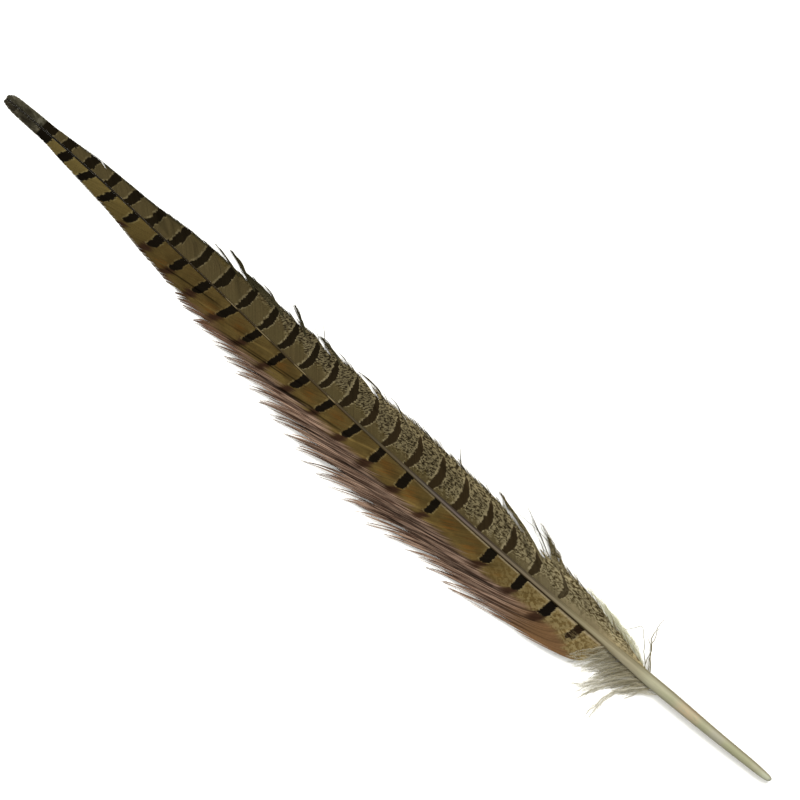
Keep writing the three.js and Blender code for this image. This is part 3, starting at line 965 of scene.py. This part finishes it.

# How each vane grows. "tufts" are where its tufts part, by the place of their tips. They open from
# the share "opening" of the width. "ragged" is how unequal the barbs' lengths are, "fray" how
# loose they hang and "gather" how far a tuft draws together. Barbs are cut short past "notch" in
# a tuft, where 0 is its middle and 1 its end on the quill's side. "bar_shift" is how unevenly the
# bars cross from strand to strand, "pale_tips" how pale the barbs end, "strand_gather" how far a
# strand draws together, "sway" how much loose barbs wander and "overshoot" how far they reach
# past the outline. "step" is between a barb's points, "hair" is half the width of a loose barb
# and "cover" how far closed barbs overlap. "lift" is how much tufts differ in height and "rise"
# the height of a barb's ridge. "gaps" are single slits: (along, offset) where they start, and
# width. "lines" are parted barbs seen as thin dark or light lines, the dark ones painted shade where
# one bunch of barbs lies over the next: (along, offset) of both ends, and shade.
FRINGED_HABIT = {
    "spacing": [(80, 0.55), (110, 0.65), (150, 0.75), (220, 0.8), (330, 0.8), (LENGTH, 0.7)],
    "tufts": [
        104, 116, 125, 134, 140, 148.5, 156, 164, 170, 178, 184.5, 194, 202, 209.5, 217, 224, 231.5,
        238, 246, 253, 260.5, 269, 276, 284, 292, 301, 312, 325, 340, 356, 372, 390, 410,
    ],
    "strand_sizes": (2, 6),
    "opening": [
        (90, 0.95), (118, 0.88), (135, 0.76), (165, 0.74), (200, 0.74), (280, 0.72), (310, 0.78),
        (330, 0.92), (LENGTH, 0.97),
    ],
    "ragged": [
        (90, 0.02), (118, 0.05), (135, 0.1), (155, 0.14), (200, 0.14), (290, 0.13), (318, 0.06),
        (335, 0.01), (LENGTH, 0.005),
    ],
    "fray": [
        (90, 0.1), (115, 0.3), (130, 0.8), (145, 1), (300, 1), (320, 0.6), (335, 0.15),
        (LENGTH, 0.05),
    ],
    "gather": [(90, 0.7), (200, 0.68), (235, 0.52), (LENGTH, 0.52)],
    "notch": [(90, 0.6), (205, 0.6), (235, 0.76), (LENGTH, 0.76)],
    "bar_shift": [(90, 0.3), (280, 0.4), (330, 0.8), (LENGTH, 0.8)],
    "pale_tips": [
        (90, 0.4), (115, 0.7), (150, 0.85), (180, 0.85), (200, 0.6), (300, 0.5), (325, 0.2),
        (340, 0), (LENGTH, 0),
    ],
    "strand_gather": 0.65, "sway": 0.3, "overshoot": 0.07, "step": 1.4, "hair": 0.11,
    "cover": 1.45, "lift": 0.2, "rise": 0.1, "zone": fringed_zone,
    "gaps": [
        (258, 15.5, 0.6), (236, 18, 0.5), (222, 19.5, 0.5), (202, 20, 0.6), (184, 19, 0.5),
        (166, 18.5, 0.4),
    ],
    "lines": [
        (304.6, 3.8, 336.1, 9.2, 0.9), (308.8, 8.8, 325.6, 10.9, 0.8), (262.7, 5.9, 296.2, 12.2, 1),
        (245.9, 7.6, 262.7, 11.5, 1), (201.8, 11.8, 224.9, 16, 0.8), (162, 11.3, 197.6, 18, 0.8),
        (141, 12.2, 162, 18, 0.7), (213.6, 2.6, 229, 7.3, -1), (229, 7.3, 250, 12.6, -0.7),
        (213.6, 7.3, 231, 12, -0.8), (275, 3, 290, 7, -0.6), (299, 6, 322, 11.5, -0.5),
        (186, 8, 204, 13.5, -0.6), (170, 7, 190, 13, -0.5), (246, 12.5, 268, 17, -0.7),
        (282, 4, 300, 8, 0.4), (228, 13, 252, 18, 0.5), (180, 13, 206, 19, 0.5),
        (148, 14, 176, 20, 0.4),
        (240, 12, 262, 16, -0.4), (190, 15, 215, 20, -0.4), (254, 3.4, 304.6, 13, 0.7),
        (220.7, 5, 287.8, 16, 0.6), (233, 7.1, 273, 13.9, 0.6), (201.8, 10.5, 254, 18.9, 0.7),
        (178.7, 12.6, 237.5, 21.8, 0.8), (162, 14.7, 220.7, 24.4, 0.7), (145, 12.6, 208, 23, 0.7),
        (136.8, 11.8, 187, 21, 0.7),
    ],
}
MOTTLED_HABIT = {
    "spacing": [(70, 0.5), (120, 0.65), (220, 0.75), (LENGTH, 0.65)],
    "tufts": [
        84, 92, 100, 110, 118, 126, 133, 140, 152, 163, 175, 186, 199, 212, 228, 241, 252, 264,
        273, 284, 296, 303, 311, 318, 330, 349, 366, 387, 405,
    ],
    "strand_sizes": (2, 5),
    "opening": [(70, 0.8), (110, 0.86), (140, 0.88), (200, 0.92), (LENGTH, 0.95)],
    "ragged": [(70, 0.14), (110, 0.1), (150, 0.06), (200, 0.04), (300, 0.035), (LENGTH, 0.015)],
    "fray": [(70, 0.8), (110, 0.6), (150, 0.4), (200, 0.25), (300, 0.2), (330, 0.1), (LENGTH, 0.02)],
    "gather": [(70, 0.4), (LENGTH, 0.4)],
    "notch": [(70, 0.8), (LENGTH, 0.8)],
    "bar_shift": [(70, 0.3), (280, 0.4), (330, 0.8), (LENGTH, 0.8)],
    "pale_tips": [
        (84, 0.6), (107, 0.5), (133, 0.35), (150, 0.8), (215, 0.9), (240, 0.4), (258, 0), (LENGTH, 0),
    ],
    "strand_gather": 0.5, "sway": 0.15, "overshoot": 0.03, "step": 1.1, "hair": 0.09,
    "cover": 1.35, "lift": 0.1, "rise": 0.05, "zone": mottled_zone,
    "gaps": [
        (379.7, 5.0, 0.36), (258, 13.2, 0.8), (231.4, 14, 0.8), (216.5, 15.2, 0.8), (134.7, 11, 1),
        (275.5, 13.3, 0.6), (304.6, 11.6, 0.5),
    ],
    "lines": [
        (136, 6, 146, 12.6, 0.5), (226, 9, 236, 13.6, 0.4), (252, 9, 262, 13, 0.4),
        (150, 9, 160, 14, 0.4),
        (187, 10, 197, 15, 0.3), (170, 9, 181, 14, -0.4), (130, 8.6, 145, 13.4, -1),
        (138, 12.4, 160, 15.6, -0.8), (341, 2, 350, 7.5, 0.35), (345, 2.5, 352, 7, 0.3),
        (338, 2, 344, 8.5, 0.25), (325, 3, 331, 9, 0.3), (300, 4, 308, 10, 0.3),
    ],
}

# Barbs sprung from the mottled vane's edge: (along, offset) points from root to tip, how many,
# their scatter, half their width, and how dark: 0 pale, 1 dark.
SPRUNG_BARBS = [
    ([(372, 6.5), (379, 6.3), (385, 6), (391, 5.4)], 3, 0.05, 0.13, 0.9),
    ([(307.3, 10.1), (313, 11.6), (318.5, 12.7), (323.9, 13.4)], 9, 0.2, 0.28, 1),
    ([(298.4, 10.5), (304.6, 12.6), (310.9, 14.7), (318, 16)], 14, 0.28, 0.32, 1),
    ([(283, 11.3), (288.7, 12.8), (297.1, 13.4), (304.6, 13.7)], 16, 0.35, 0.32, 0.9),
    ([(288, 10.8), (295, 12.2), (302, 12.8), (310, 13)], 12, 0.35, 0.3, 0.8),
    ([(285.7, 11.8), (288.7, 13.4), (292.9, 14.7), (297.5, 15.1)], 4, 0.15, 0.18, 0.6),
    ([(269.9, 11.8), (274.2, 14.5), (279, 16.8), (282.4, 18.1)], 12, 0.26, 0.28, 1),
    ([(262.7, 12.6), (266, 15.3), (269, 16.8), (271.9, 17.6)], 2, 0.1, 0.08, 0.3),
    ([(258.5, 12.6), (261.8, 15.5), (265.2, 18.5), (267.7, 20.6)], 4, 0.1, 0.15, 0.5),
    ([(251, 13.2), (256, 14.9), (261, 15.5), (266, 15.6)], 12, 0.35, 0.3, 0.8),
    ([(243.8, 13.9), (247.6, 15.1), (251.3, 16), (254.7, 16.3)], 4, 0.12, 0.14, 0.5),
    ([(225, 13), (231, 16.1), (237.5, 16.7), (243.8, 16.2)], 8, 0.16, 0.18, 0.6),
    ([(212.3, 13.4), (216.5, 15.1), (222, 17.2), (227.8, 17.8)], 6, 0.16, 0.18, 0.4),
    ([(182.1, 14.3), (186.3, 18.1), (188.8, 21), (190.9, 23.5)], 4, 0.1, 0.16, 0.8),
    (
        [(129, 8), (134.7, 10.2), (141, 12.7), (149.4, 15), (157.8, 17.1), (166, 19.8)],
        30, 0.36, 0.26, 0.1,
    ),
    ([(131.7, 12.6), (141, 17.2), (147.3, 20.2), (153.6, 22.7)], 4, 0.18, 0.12, 0.6),
    ([(132.6, 13), (141, 17.2), (146.4, 19.3), (150.2, 21.4)], 5, 0.12, 0.14, 0.9),
    ([(136.8, 17.2), (141.8, 17.6), (149.4, 17.8), (155.7, 17.4)], 3, 0.12, 0.07, 0.7),
    ([(131.7, 10.5), (136.8, 13.9), (143.5, 16.8), (146.9, 18.9)], 3, 0.12, 0.09, 0.5),
    ([(127.5, 11.3), (131, 14.6), (135, 17.6), (139, 19.2)], 16, 0.6, 0.14, 0.1),
    ([(125.7, 11.3), (130, 14.4), (133.7, 16.8), (137, 17.8)], 24, 0.7, 0.15, 0.15),
    ([(122, 11.8), (126, 14), (130, 16), (134, 16.8)], 16, 0.6, 0.14, 0.1),
    ([(129.2, 12.1), (135.1, 17.2), (141, 20.2), (145.2, 21)], 12, 0.6, 0.12, 0.1),
]


def make_vane(side, habit, look, seed, piece_name, node):
    rng = np.random.default_rng(seed)
    strands = grow_vane(side, habit, rng)
    if side == MOTTLED:
        add_sprung_barbs(strands, side, rng)
    materials = [
        vane_material(piece_name, look, side),
        vane_material(piece_name + "_underside", look, side, underside=True),
    ]
    piece = strands.make(piece_name, materials)
    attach(piece, "root")
    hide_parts(node)


# ---- The shaft ---------------------------------------------------------------------------------

SHAFT_SIDES = 32
SHAFT_STEPS = 420
QUILL_END = [0.0, 0.15, 0.4, 0.8, 1.4, 2.2]  # close steps round the quill's end
GROOVE_WIDTH = 0.3  # as a share of the shaft's half width
GROOVE_DEPTH = 0.22  # as a share of the shaft's depth


def make_shaft():
    """Quill and rachis, round at the quill and grooved below along the rachis."""
    along = np.append(QUILL_END, np.linspace(3.2, LENGTH - 0.5, SHAFT_STEPS))[:, None]
    low, high = profile(SHAFT_MINUS_Y, along), profile(SHAFT_PLUS_Y, along)
    bottom, top = profile(SHAFT_UNDERSIDE, along), profile(SHAFT_TOP, along)
    angle = np.arange(SHAFT_SIDES) * 2 * np.pi / SHAFT_SIDES
    squareness = 1 - 0.22 * ease(along, 70, 120)
    c, s = np.cos(angle)[None, :], np.sin(angle)[None, :]
    across = np.sign(c) * np.abs(c) ** squareness
    up = np.sign(s) * np.abs(s) ** squareness
    groove = np.exp(-((across / GROOVE_WIDTH) ** 2)) * (s < 0)
    groove = groove * ease(along, 66, 90) * (1 - ease(along, 380, 420))
    offset = (low + high) / 2 + (high - low) / 2 * across
    height = (bottom + top) / 2 + (top - bottom) / 2 * up
    height = np.maximum(height + groove * GROOVE_DEPTH * (top - bottom), 0)
    grid = in_frame(along, offset, height).reshape(-1, 3)

    around = np.arange(SHAFT_SIDES)
    ring = np.stack([around, np.roll(around, -1)], axis=1)
    ring = np.hstack([ring, ring[:, ::-1] + SHAFT_SIDES])
    faces = []
    for first in range(0, len(grid) - SHAFT_SIDES, SHAFT_SIDES):
        faces.extend((ring + first).tolist())
    faces.append(around[::-1].tolist())
    faces.append((around + len(grid) - SHAFT_SIDES).tolist())
    place = {"shaft_place": columns(along, across, up)}
    piece = make_piece("shaft_horn", grid, faces, place, [horn_material()], smooth=True)
    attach(piece, "root")
    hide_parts("shaft")


# Colours along the shaft, (along, colour): its light ridge, its darker side by the mottled vane and
# the line by the fringed vane. That line is a painted shadow where the fringed vane meets the shaft;
# near the quill it is painted lighter instead, against the lamp's shade on that side.
RIDGE_COLOURS = [
    (60, (168, 161, 133)), (70, (161, 153, 124)), (80, (164, 155, 126)), (95, (154, 144, 113)),
    (107, (140, 130, 101)), (124, (121, 109, 86)), (141, (115, 103, 83)), (158, (110, 98, 82)),
    (170, (106, 93, 86)), (191, (98, 90, 76)), (208, (90, 78, 56)), (225, (78, 69, 51)),
    (238, (80, 66, 47)), (255, (70, 58, 36)), (310, (50, 40, 22)), (350, (40, 32, 18)),
    (403, (22, 19, 13)), (414, (38, 34, 25)),
]
SIDE_COLOURS = [
    (60, (132, 126, 101)), (70, (134, 127, 100)), (80, (136, 127, 99)), (95, (134, 123, 93)),
    (107, (119, 109, 80)), (124, (86, 76, 55)), (141, (71, 62, 44)), (158, (62, 51, 38)),
    (170, (56, 46, 37)), (191, (60, 52, 41)), (208, (73, 62, 42)), (225, (66, 59, 40)),
    (255, (66, 55, 33)), (310, (48, 38, 21)), (350, (38, 30, 17)), (403, (22, 19, 13)),
    (414, (38, 34, 25)),
]
SHADOW_LINE_COLOURS = [
    (60, (166, 160, 134)), (70, (174, 166, 136)), (80, (182, 172, 142)), (88, (152, 141, 110)),
    (95, (108, 95, 65)), (107, (62, 50, 24)), (124, (54, 42, 20)), (141, (54, 41, 20)),
    (158, (70, 57, 34)), (170, (84, 72, 48)), (208, (76, 64, 40)), (255, (66, 52, 28)),
    (310, (46, 36, 20)), (350, (36, 29, 16)), (403, (22, 19, 13)), (414, (38, 34, 25)),
]
# Painted highlights: the rachis ridge is made lighter along these stretches.
PAINTED_GLINTS = [(302, 4), (283.5, 5), (262, 4), (244, 2.5)]  # (along, half length) of bare shiny stretches


def colours_along(s, along, stops):
    """A colour that changes along the feather: stops are (along, colour)."""
    ramp = s.tree.nodes.new("ShaderNodeValToRGB")
    s.fill(ramp.inputs["Fac"], s.math("DIVIDE", along, LENGTH))
    elements = ramp.color_ramp.elements
    elements.remove(elements[1])
    elements[0].position = stops[0][0] / LENGTH
    elements[0].color = paint(*stops[0][1])
    for place, colour in stops[1:]:
        elements.new(place / LENGTH).color = paint(*colour)
    return ramp.outputs["Color"]


def quill_colour(s, along, across, grain):
    """Pale horn, with a few blotches along it and a darker side towards the mottled vane, partly its
    own darker edge and partly painted shade that evens out the lamp's light there.
    """
    cloud = s.noise(along, across, 0.07, 0.7, 2.0)
    quill = s.tint(paint(166, 165, 132), (177, 173, 144), s.step(cloud, 0.35, 0.65))
    blotch = s.times(s.step(along, 37, 42), s.step(along, 54, 47), s.step(grain, 0.35, 0.55))
    quill = s.tint(quill, (192, 172, 138), blotch, 0.9)
    quill = s.tint(quill, (174, 169, 152), s.step(along, 24, 28), s.step(along, 35, 31), 0.6)
    quill = s.tint(quill, (164, 163, 128), s.step(along, 9, 13), s.step(along, 27, 22), 0.6)
    quill = s.tint(quill, (187, 188, 160), s.step(along, 8, 3))
    quill = s.tint(quill, (158, 158, 140), s.step(along, 1.6, 0.4))
    # Partly the quill's own darker edge, partly painted shade: the side towards the mottled vane,
    # where the lamp lights it most, is made darker.
    quill = s.tint(quill, (132, 126, 104), s.step(across, -0.15, -0.85), 0.75)
    return s.tint(quill, (150, 112, 88), s.step(across, -0.55, -0.85), blotch, 0.8)


def horn_material():
    """Pale horn at the quill; on the rachis a light ridge with painted glints, a darker side and a
    dark line of painted shadow by the fringed vane.
    """
    s = Surface("horn")
    along, across = s.attribute("shaft_place")[:2]
    grain = s.noise(along, across, 0.25, 6.0, 4.0, detail=3)
    ridge = colours_along(s, along, RIDGE_COLOURS)
    # Painted highlights: the ridge is made lighter at each glint.
    for place, half in PAINTED_GLINTS:
        painted_glint = s.step(s.math("ABSOLUTE", s.minus(along, place)), half, half * 0.6)
        ridge = s.tint(ridge, (140, 124, 88), painted_glint, 0.85)
    rachis = s.mix(s.step(across, -0.1, -0.42), ridge, colours_along(s, along, SIDE_COLOURS))
    # Painted shadow: a dark line along the fringed side, where that vane meets the shaft.
    rachis = s.mix(s.step(across, 0.36, 0.7), rachis, colours_along(s, along, SHADOW_LINE_COLOURS))
    colour = s.mix(s.step(along, 62, 76), quill_colour(s, along, across, grain), rachis)
    lower_edge = s.times(s.step(across, 0.68, 0.95), s.step(along, 72, 60))
    colour = s.tint(colour, (138, 134, 111), lower_edge, 0.75)
    upper_edge = s.times(s.step(across, -0.6, -0.9), s.step(along, 88, 74))
    colour = s.tint(colour, (120, 112, 84), upper_edge, 0.85)
    darker = s.mix_value(s.step(along, 66, 84), 0.77, 0.7)
    colour = s.scale(colour, s.plus(darker, s.times(grain, 0.26)))
    s.bump(grain, 0.0001, 0.25)
    return s.finish(colour, s.plus(0.42, s.times(grain, 0.2)), shine=0.05)


# ---- Down --------------------------------------------------------------------------------------

DOWN_INSIDE = 0.8  # how far out within the shaft down starts, as a share of its half width

# Wisps of the down: (along, offset) points from root to tip, how many fibres, how they scatter,
# their thickness, and their tone: 1 pale, -1 dark. The fill is fibres at random between them:
# how many, and the least and greatest place and length. Its angle, in degrees, has a mean and a
# scatter.
FRINGED_WISPS = [
    ([(59.6, 2.3), (66.3, 6.7), (73.8, 13.9)], 6, 0.35, 0.15, 1.0),
    ([(62.1, 2.3), (68.8, 7.6), (74.7, 13.4)], 6, 0.5, 0.15, 0.6),
    ([(65.4, 2), (71.3, 6.7), (76.4, 11.8)], 8, 0.6, 0.16, -0.8),
    ([(64.6, 2.3), (71.3, 9.2), (74.7, 14.3), (75.9, 21), (76.5, 32.6)], 3, 0.25, 0.27, 0.5),
    ([(63.8, 2.3), (70.5, 9.2), (73.8, 15.1), (74.7, 21), (74.3, 30)], 3, 0.25, 0.27, 0.5),
    ([(68.8, 2), (74.7, 8.4), (79.7, 15.1), (81.8, 23.9)], 7, 0.8, 0.16, -0.2),
    ([(69.8, 2), (76, 9.4), (81, 18.1), (84.4, 26.6)], 6, 0.5, 0.18, -0.5),
    ([(73, 2), (79, 10), (84.5, 17.6), (89.9, 22.6)], 6, 0.6, 0.18, -0.4),
    ([(73.8, 2), (78.9, 9.2), (83.1, 17.6), (87.3, 25.2)], 8, 0.8, 0.14, -0.1),
    ([(75.9, 2), (81.4, 9.2), (85.6, 17.6), (89.8, 22.3)], 8, 0.8, 0.14, -0.1),
    ([(70.5, 2), (77.2, 9.2), (82.2, 18.9), (85.6, 26.5)], 4, 0.8, 0.12, 0.7),
    ([(79.7, 1.6), (84.7, 7.6), (91.5, 14.3), (94.8, 16)], 9, 0.9, 0.14, 0.3),
    ([(83.9, 1.4), (88.9, 7.1), (94.8, 12.6), (99, 15.5)], 9, 0.9, 0.14, 0.5),
    ([(87.3, 1.2), (92.3, 6.7), (98.2, 11.8), (103.2, 16)], 7, 0.7, 0.13, 0.7),
    ([(67.1, 2.4), (69.6, 2.6), (72.2, 3.8), (72.6, 5.9)], 6, 0.3, 0.16, -1.6),
]
FRINGED_FILL = {
    "count": 180, "roots": (62.5, 90), "length": (6, 17), "angle": (50, 9), "thickness": 0.19,
}
MOTTLED_WISPS = [
    ([(71.7, 3.2), (82.2, 7.9), (94.8, 11.4), (102.4, 12.9)], 11, 0.6, 0.15, 0.9),
    ([(75.9, 3.2), (88.5, 8.8), (99, 11.2), (104.9, 12.6)], 10, 0.6, 0.15, 0.7),
    ([(92, 8), (100, 11), (106, 12.6), (112, 13.6)], 7, 0.5, 0.13, 0.6),
    ([(70.5, 3.1), (77.2, 10.1), (82.7, 15.5), (85.2, 13.4), (87.7, 10.1)], 1, 0.1, 0.4, -2.2),
    ([(68, 3.2), (75.5, 13), (77.6, 17.6), (78, 24)], 1, 0.1, 0.55, -2.2),
    ([(68.8, 3.2), (75.1, 12.6), (75.9, 16), (77.6, 21)], 1, 0.1, 0.45, -2),
    ([(71.3, 3.2), (74.7, 11.3), (78.9, 14.3)], 1, 0.2, 0.3, -2),
]
MOTTLED_FILL = {
    "count": 26, "roots": (68, 84), "length": (7, 15), "angle": (30, 6), "thickness": 0.13,
}


# Dark, middle and pale.
GREY_DOWN = ((130, 122, 97), (188, 179, 150), (226, 221, 201))
PALE_DOWN = ((126, 118, 90), (184, 178, 144), (220, 217, 184))
BARBULE_SHARE = 0.45  # how thick the down's barbules are, as a share of their fibre


def down_material(name, dark, middle, pale):
    """Soft down, darker near the shaft and paler out along the wisps."""
    s = Surface(name)
    out, root, tone = s.attribute("wisp_place")
    colour = s.tint(paint(*dark), middle, s.step(tone, -1.2, 0.1))
    colour = s.tint(colour, pale, s.step(tone, 0.1, 1.2))
    colour = s.tint(colour, pale, s.step(out, 6, 16), s.step(tone, -1.0, 0.2))
    mottling = s.noise(out, root, 0.7, 1.2)
    colour = s.scale(colour, s.plus(0.82, s.times(mottling, 0.36)))
    return s.finish(colour, 0.9, shine=0.0)


def add_fibre(strands, side, x, y, height, thickness, way, root, tone):
    half = thickness / 2 * (1 - 0.6 * way / way[-1])
    left, ridge, right = strand_sides(x, side * y, height, half, half * 1.6)
    strands.add(left, ridge, right, {"wisp_place": columns(np.abs(y), root, tone)})


WAVES = [(0.5, 1.1, 0.25), (1.4, 2.4, 0.1)]  # least and greatest radians for a mm, and height


def add_downy_fibre(strands, side, course, thickness, tone, barbules, rng):
    """A wandering fibre with short barbules along both sides."""
    x, y, at = course
    grow = at / at[-1]
    waves = 0
    for slow, fast, size in WAVES:
        waves = waves + np.sin(at * rng.uniform(slow, fast) + rng.uniform(0, 6.3)) * size
    heading = np.arctan2(np.gradient(y), np.gradient(x))
    x = x - np.sin(heading) * waves * ease(grow, 0, 0.3)
    y = np.maximum(y + np.cos(heading) * waves * ease(grow, 0, 0.3), 0.5)
    underside = float(profile(SHAFT_UNDERSIDE, x[0]))
    depth = float(profile(SHAFT_TOP, x[0]) - profile(SHAFT_UNDERSIDE, x[0]))
    root_height = underside + rng.uniform(0.15, 0.5) * depth
    arch = np.sin(np.pi * grow) * rng.uniform(0.1, 1.2)
    height = np.maximum(root_height * (1 - ease(grow, 0, 0.8)) + arch, 0.04)
    if x[0] > 78 and rng.random() < 0.3:
        on_vane = vane_height(np.maximum(x, 88), y, FRINGED) + rng.uniform(0.1, 0.4)
        height = np.maximum(height, on_vane * ease(x, 84, 89))
    add_fibre(strands, side, x, y, height, thickness, at, x[0], tone)
    if not barbules:
        return
    for k in range(1, len(x) - 1):
        for turn in (-1, 1):
            small = rng.uniform(0.7, 2.2) * (1 - 0.5 * grow[k])
            angle = heading[k] + turn * rng.uniform(0.35, 0.8)
            way = np.linspace(0, small, 3)
            bx = x[k] + np.cos(angle) * way
            by = np.maximum(y[k] + np.sin(angle) * way, 0.3)
            bz = np.maximum(height[k] + rng.uniform(-0.3, 0.35) * way / small, 0.03)
            add_fibre(strands, side, bx, by, bz, thickness * BARBULE_SHARE, way, x[0], tone + 0.3)


def make_down(side, wisps, fill, colours, seed, piece_name, node):
    rng = np.random.default_rng(seed)
    strands = Strands(["wisp_place"])
    for points, count, spread, thickness, tone in wisps:
        ends = np.array(points, dtype=float)
        for k in range(count):
            shift = rng.normal(0, spread, (len(ends), 2)) * np.linspace(0.6, 1.3, len(ends))[:, None]
            shift[0, 1] = 0
            course = smooth_course(ends + shift, 1.0, 1 - 0.3 * rng.random() * (k > 0))
            own_tone = tone + rng.normal(0, 0.35)
            add_downy_fibre(strands, side, course, thickness, own_tone, count > 1, rng)
    for _ in range(fill["count"]):
        root = rng.uniform(*fill["roots"])
        length = rng.uniform(*fill["length"])
        angle = math.radians(rng.normal(*fill["angle"]))
        start = abs(float(profile(SHAFT_SIDE[side], root))) * DOWN_INSIDE
        ends = np.array([
            (root, start),
            (root + 0.55 * length * math.cos(angle), start + 0.5 * length * math.sin(angle)),
            (root + length * math.cos(angle), start + length * math.sin(angle * 1.05)),
        ])
        course = smooth_course(ends, 1.0)
        add_downy_fibre(strands, side, course, fill["thickness"], rng.normal(-0.5, 0.5), True, rng)
    piece = strands.make(piece_name, [down_material(piece_name, *colours)])
    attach(piece, "root")
    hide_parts(node)


# ---- Studio: floor, camera and light -----------------------------------------------------------

# Where the feather lies in the 800 pixel square picture.
PICTURE = 800
TIP_PIXEL = (5.6, 97.4)
QUILL_PIXEL = (770.7, 779.5)
CAMERA_DISTANCE = 2.0

# Name, metres to the picture's right, up the picture and above the floor, diameter and power.
LAMPS = [("key", 0.75, 0.75, 1.3, 0.9, 32), ("fill", -0.6, 0.2, 1.6, 1.6, 6)]
SKY_STRENGTH = 0.74
FLOOR_SIZE = 6.0
FLOOR_COLOUR = (0.95, 0.942, 0.9, 1)


def make_camera():
    """Looks straight down, turned and placed so that the feather lies as it does in the picture."""
    tip, quill = Vector(TIP_PIXEL), Vector(QUILL_PIXEL)
    pixel = LENGTH * MM / (tip - quill).length
    length_way = (tip - quill).normalized()
    fringe_way = Vector((length_way.y, -length_way.x))
    middle = Vector((PICTURE / 2, PICTURE / 2)) - quill
    target = Vector((QUILL_X * MM, CHORD_Y * MM, 0))
    target += Vector((middle.dot(length_way), middle.dot(fringe_way), 0)) * pixel
    right = Vector((length_way.x, fringe_way.x, 0))
    up = Vector((-length_way.y, -fringe_way.y, 0))
    data = bpy.data.cameras.new("camera")
    data.sensor_width = 36
    data.lens = data.sensor_width * CAMERA_DISTANCE / (PICTURE * pixel)
    camera = bpy.data.objects.new("camera", data)
    turn = Matrix((right, up, right.cross(up))).transposed().to_4x4()
    camera.matrix_world = Matrix.Translation(target + Vector((0, 0, CAMERA_DISTANCE))) @ turn
    bpy.context.scene.collection.objects.link(camera)
    bpy.context.scene.camera = camera
    return target, right, up


def make_light(name, place, target, size, power):
    data = bpy.data.lights.new(name, "AREA")
    data.shape = "DISK"
    data.size = size
    data.energy = power
    lamp = bpy.data.objects.new(name, data)
    aim = (target - place).to_track_quat("-Z", "Y").to_matrix().to_4x4()
    lamp.matrix_world = Matrix.Translation(place) @ aim
    bpy.context.scene.collection.objects.link(lamp)


def make_floor():
    half = FLOOR_SIZE / 2
    corners = [(-half, -half, 0), (half, -half, 0), (half, half, 0), (-half, half, 0)]
    paper = Surface("floor").finish(FLOOR_COLOUR, 0.9, shine=0.1)
    make_piece("floor", corners, [(0, 1, 2, 3)], {}, [paper])


def make_studio():
    target, right, up = make_camera()
    make_floor()
    for name, across, upward, height, size, power in LAMPS:
        place = target + right * across + up * upward + Vector((0, 0, height))
        make_light(name, place, target, size, power)
    world = bpy.data.worlds.new("studio")
    world.use_nodes = True
    background = world.node_tree.nodes["Background"]
    background.inputs["Color"].default_value = (1, 1, 1, 1)
    background.inputs["Strength"].default_value = SKY_STRENGTH
    bpy.context.scene.world = world
    bpy.context.scene.view_settings.view_transform = "Standard"


make_studio()
make_shaft()
make_vane(FRINGED, FRINGED_HABIT, FRINGED_LOOK, 11, "fringed_vane_barbs", "fringed_vane")
make_vane(MOTTLED, MOTTLED_HABIT, MOTTLED_LOOK, 12, "mottled_vane_barbs", "mottled_vane")
make_down(
    FRINGED, FRINGED_WISPS, FRINGED_FILL, GREY_DOWN, 21,
    "fringed_side_down_wisps", "fringed_side_down",
)
make_down(
    MOTTLED, MOTTLED_WISPS, MOTTLED_FILL, PALE_DOWN, 22,
    "mottled_side_down_wisps", "mottled_side_down",
)
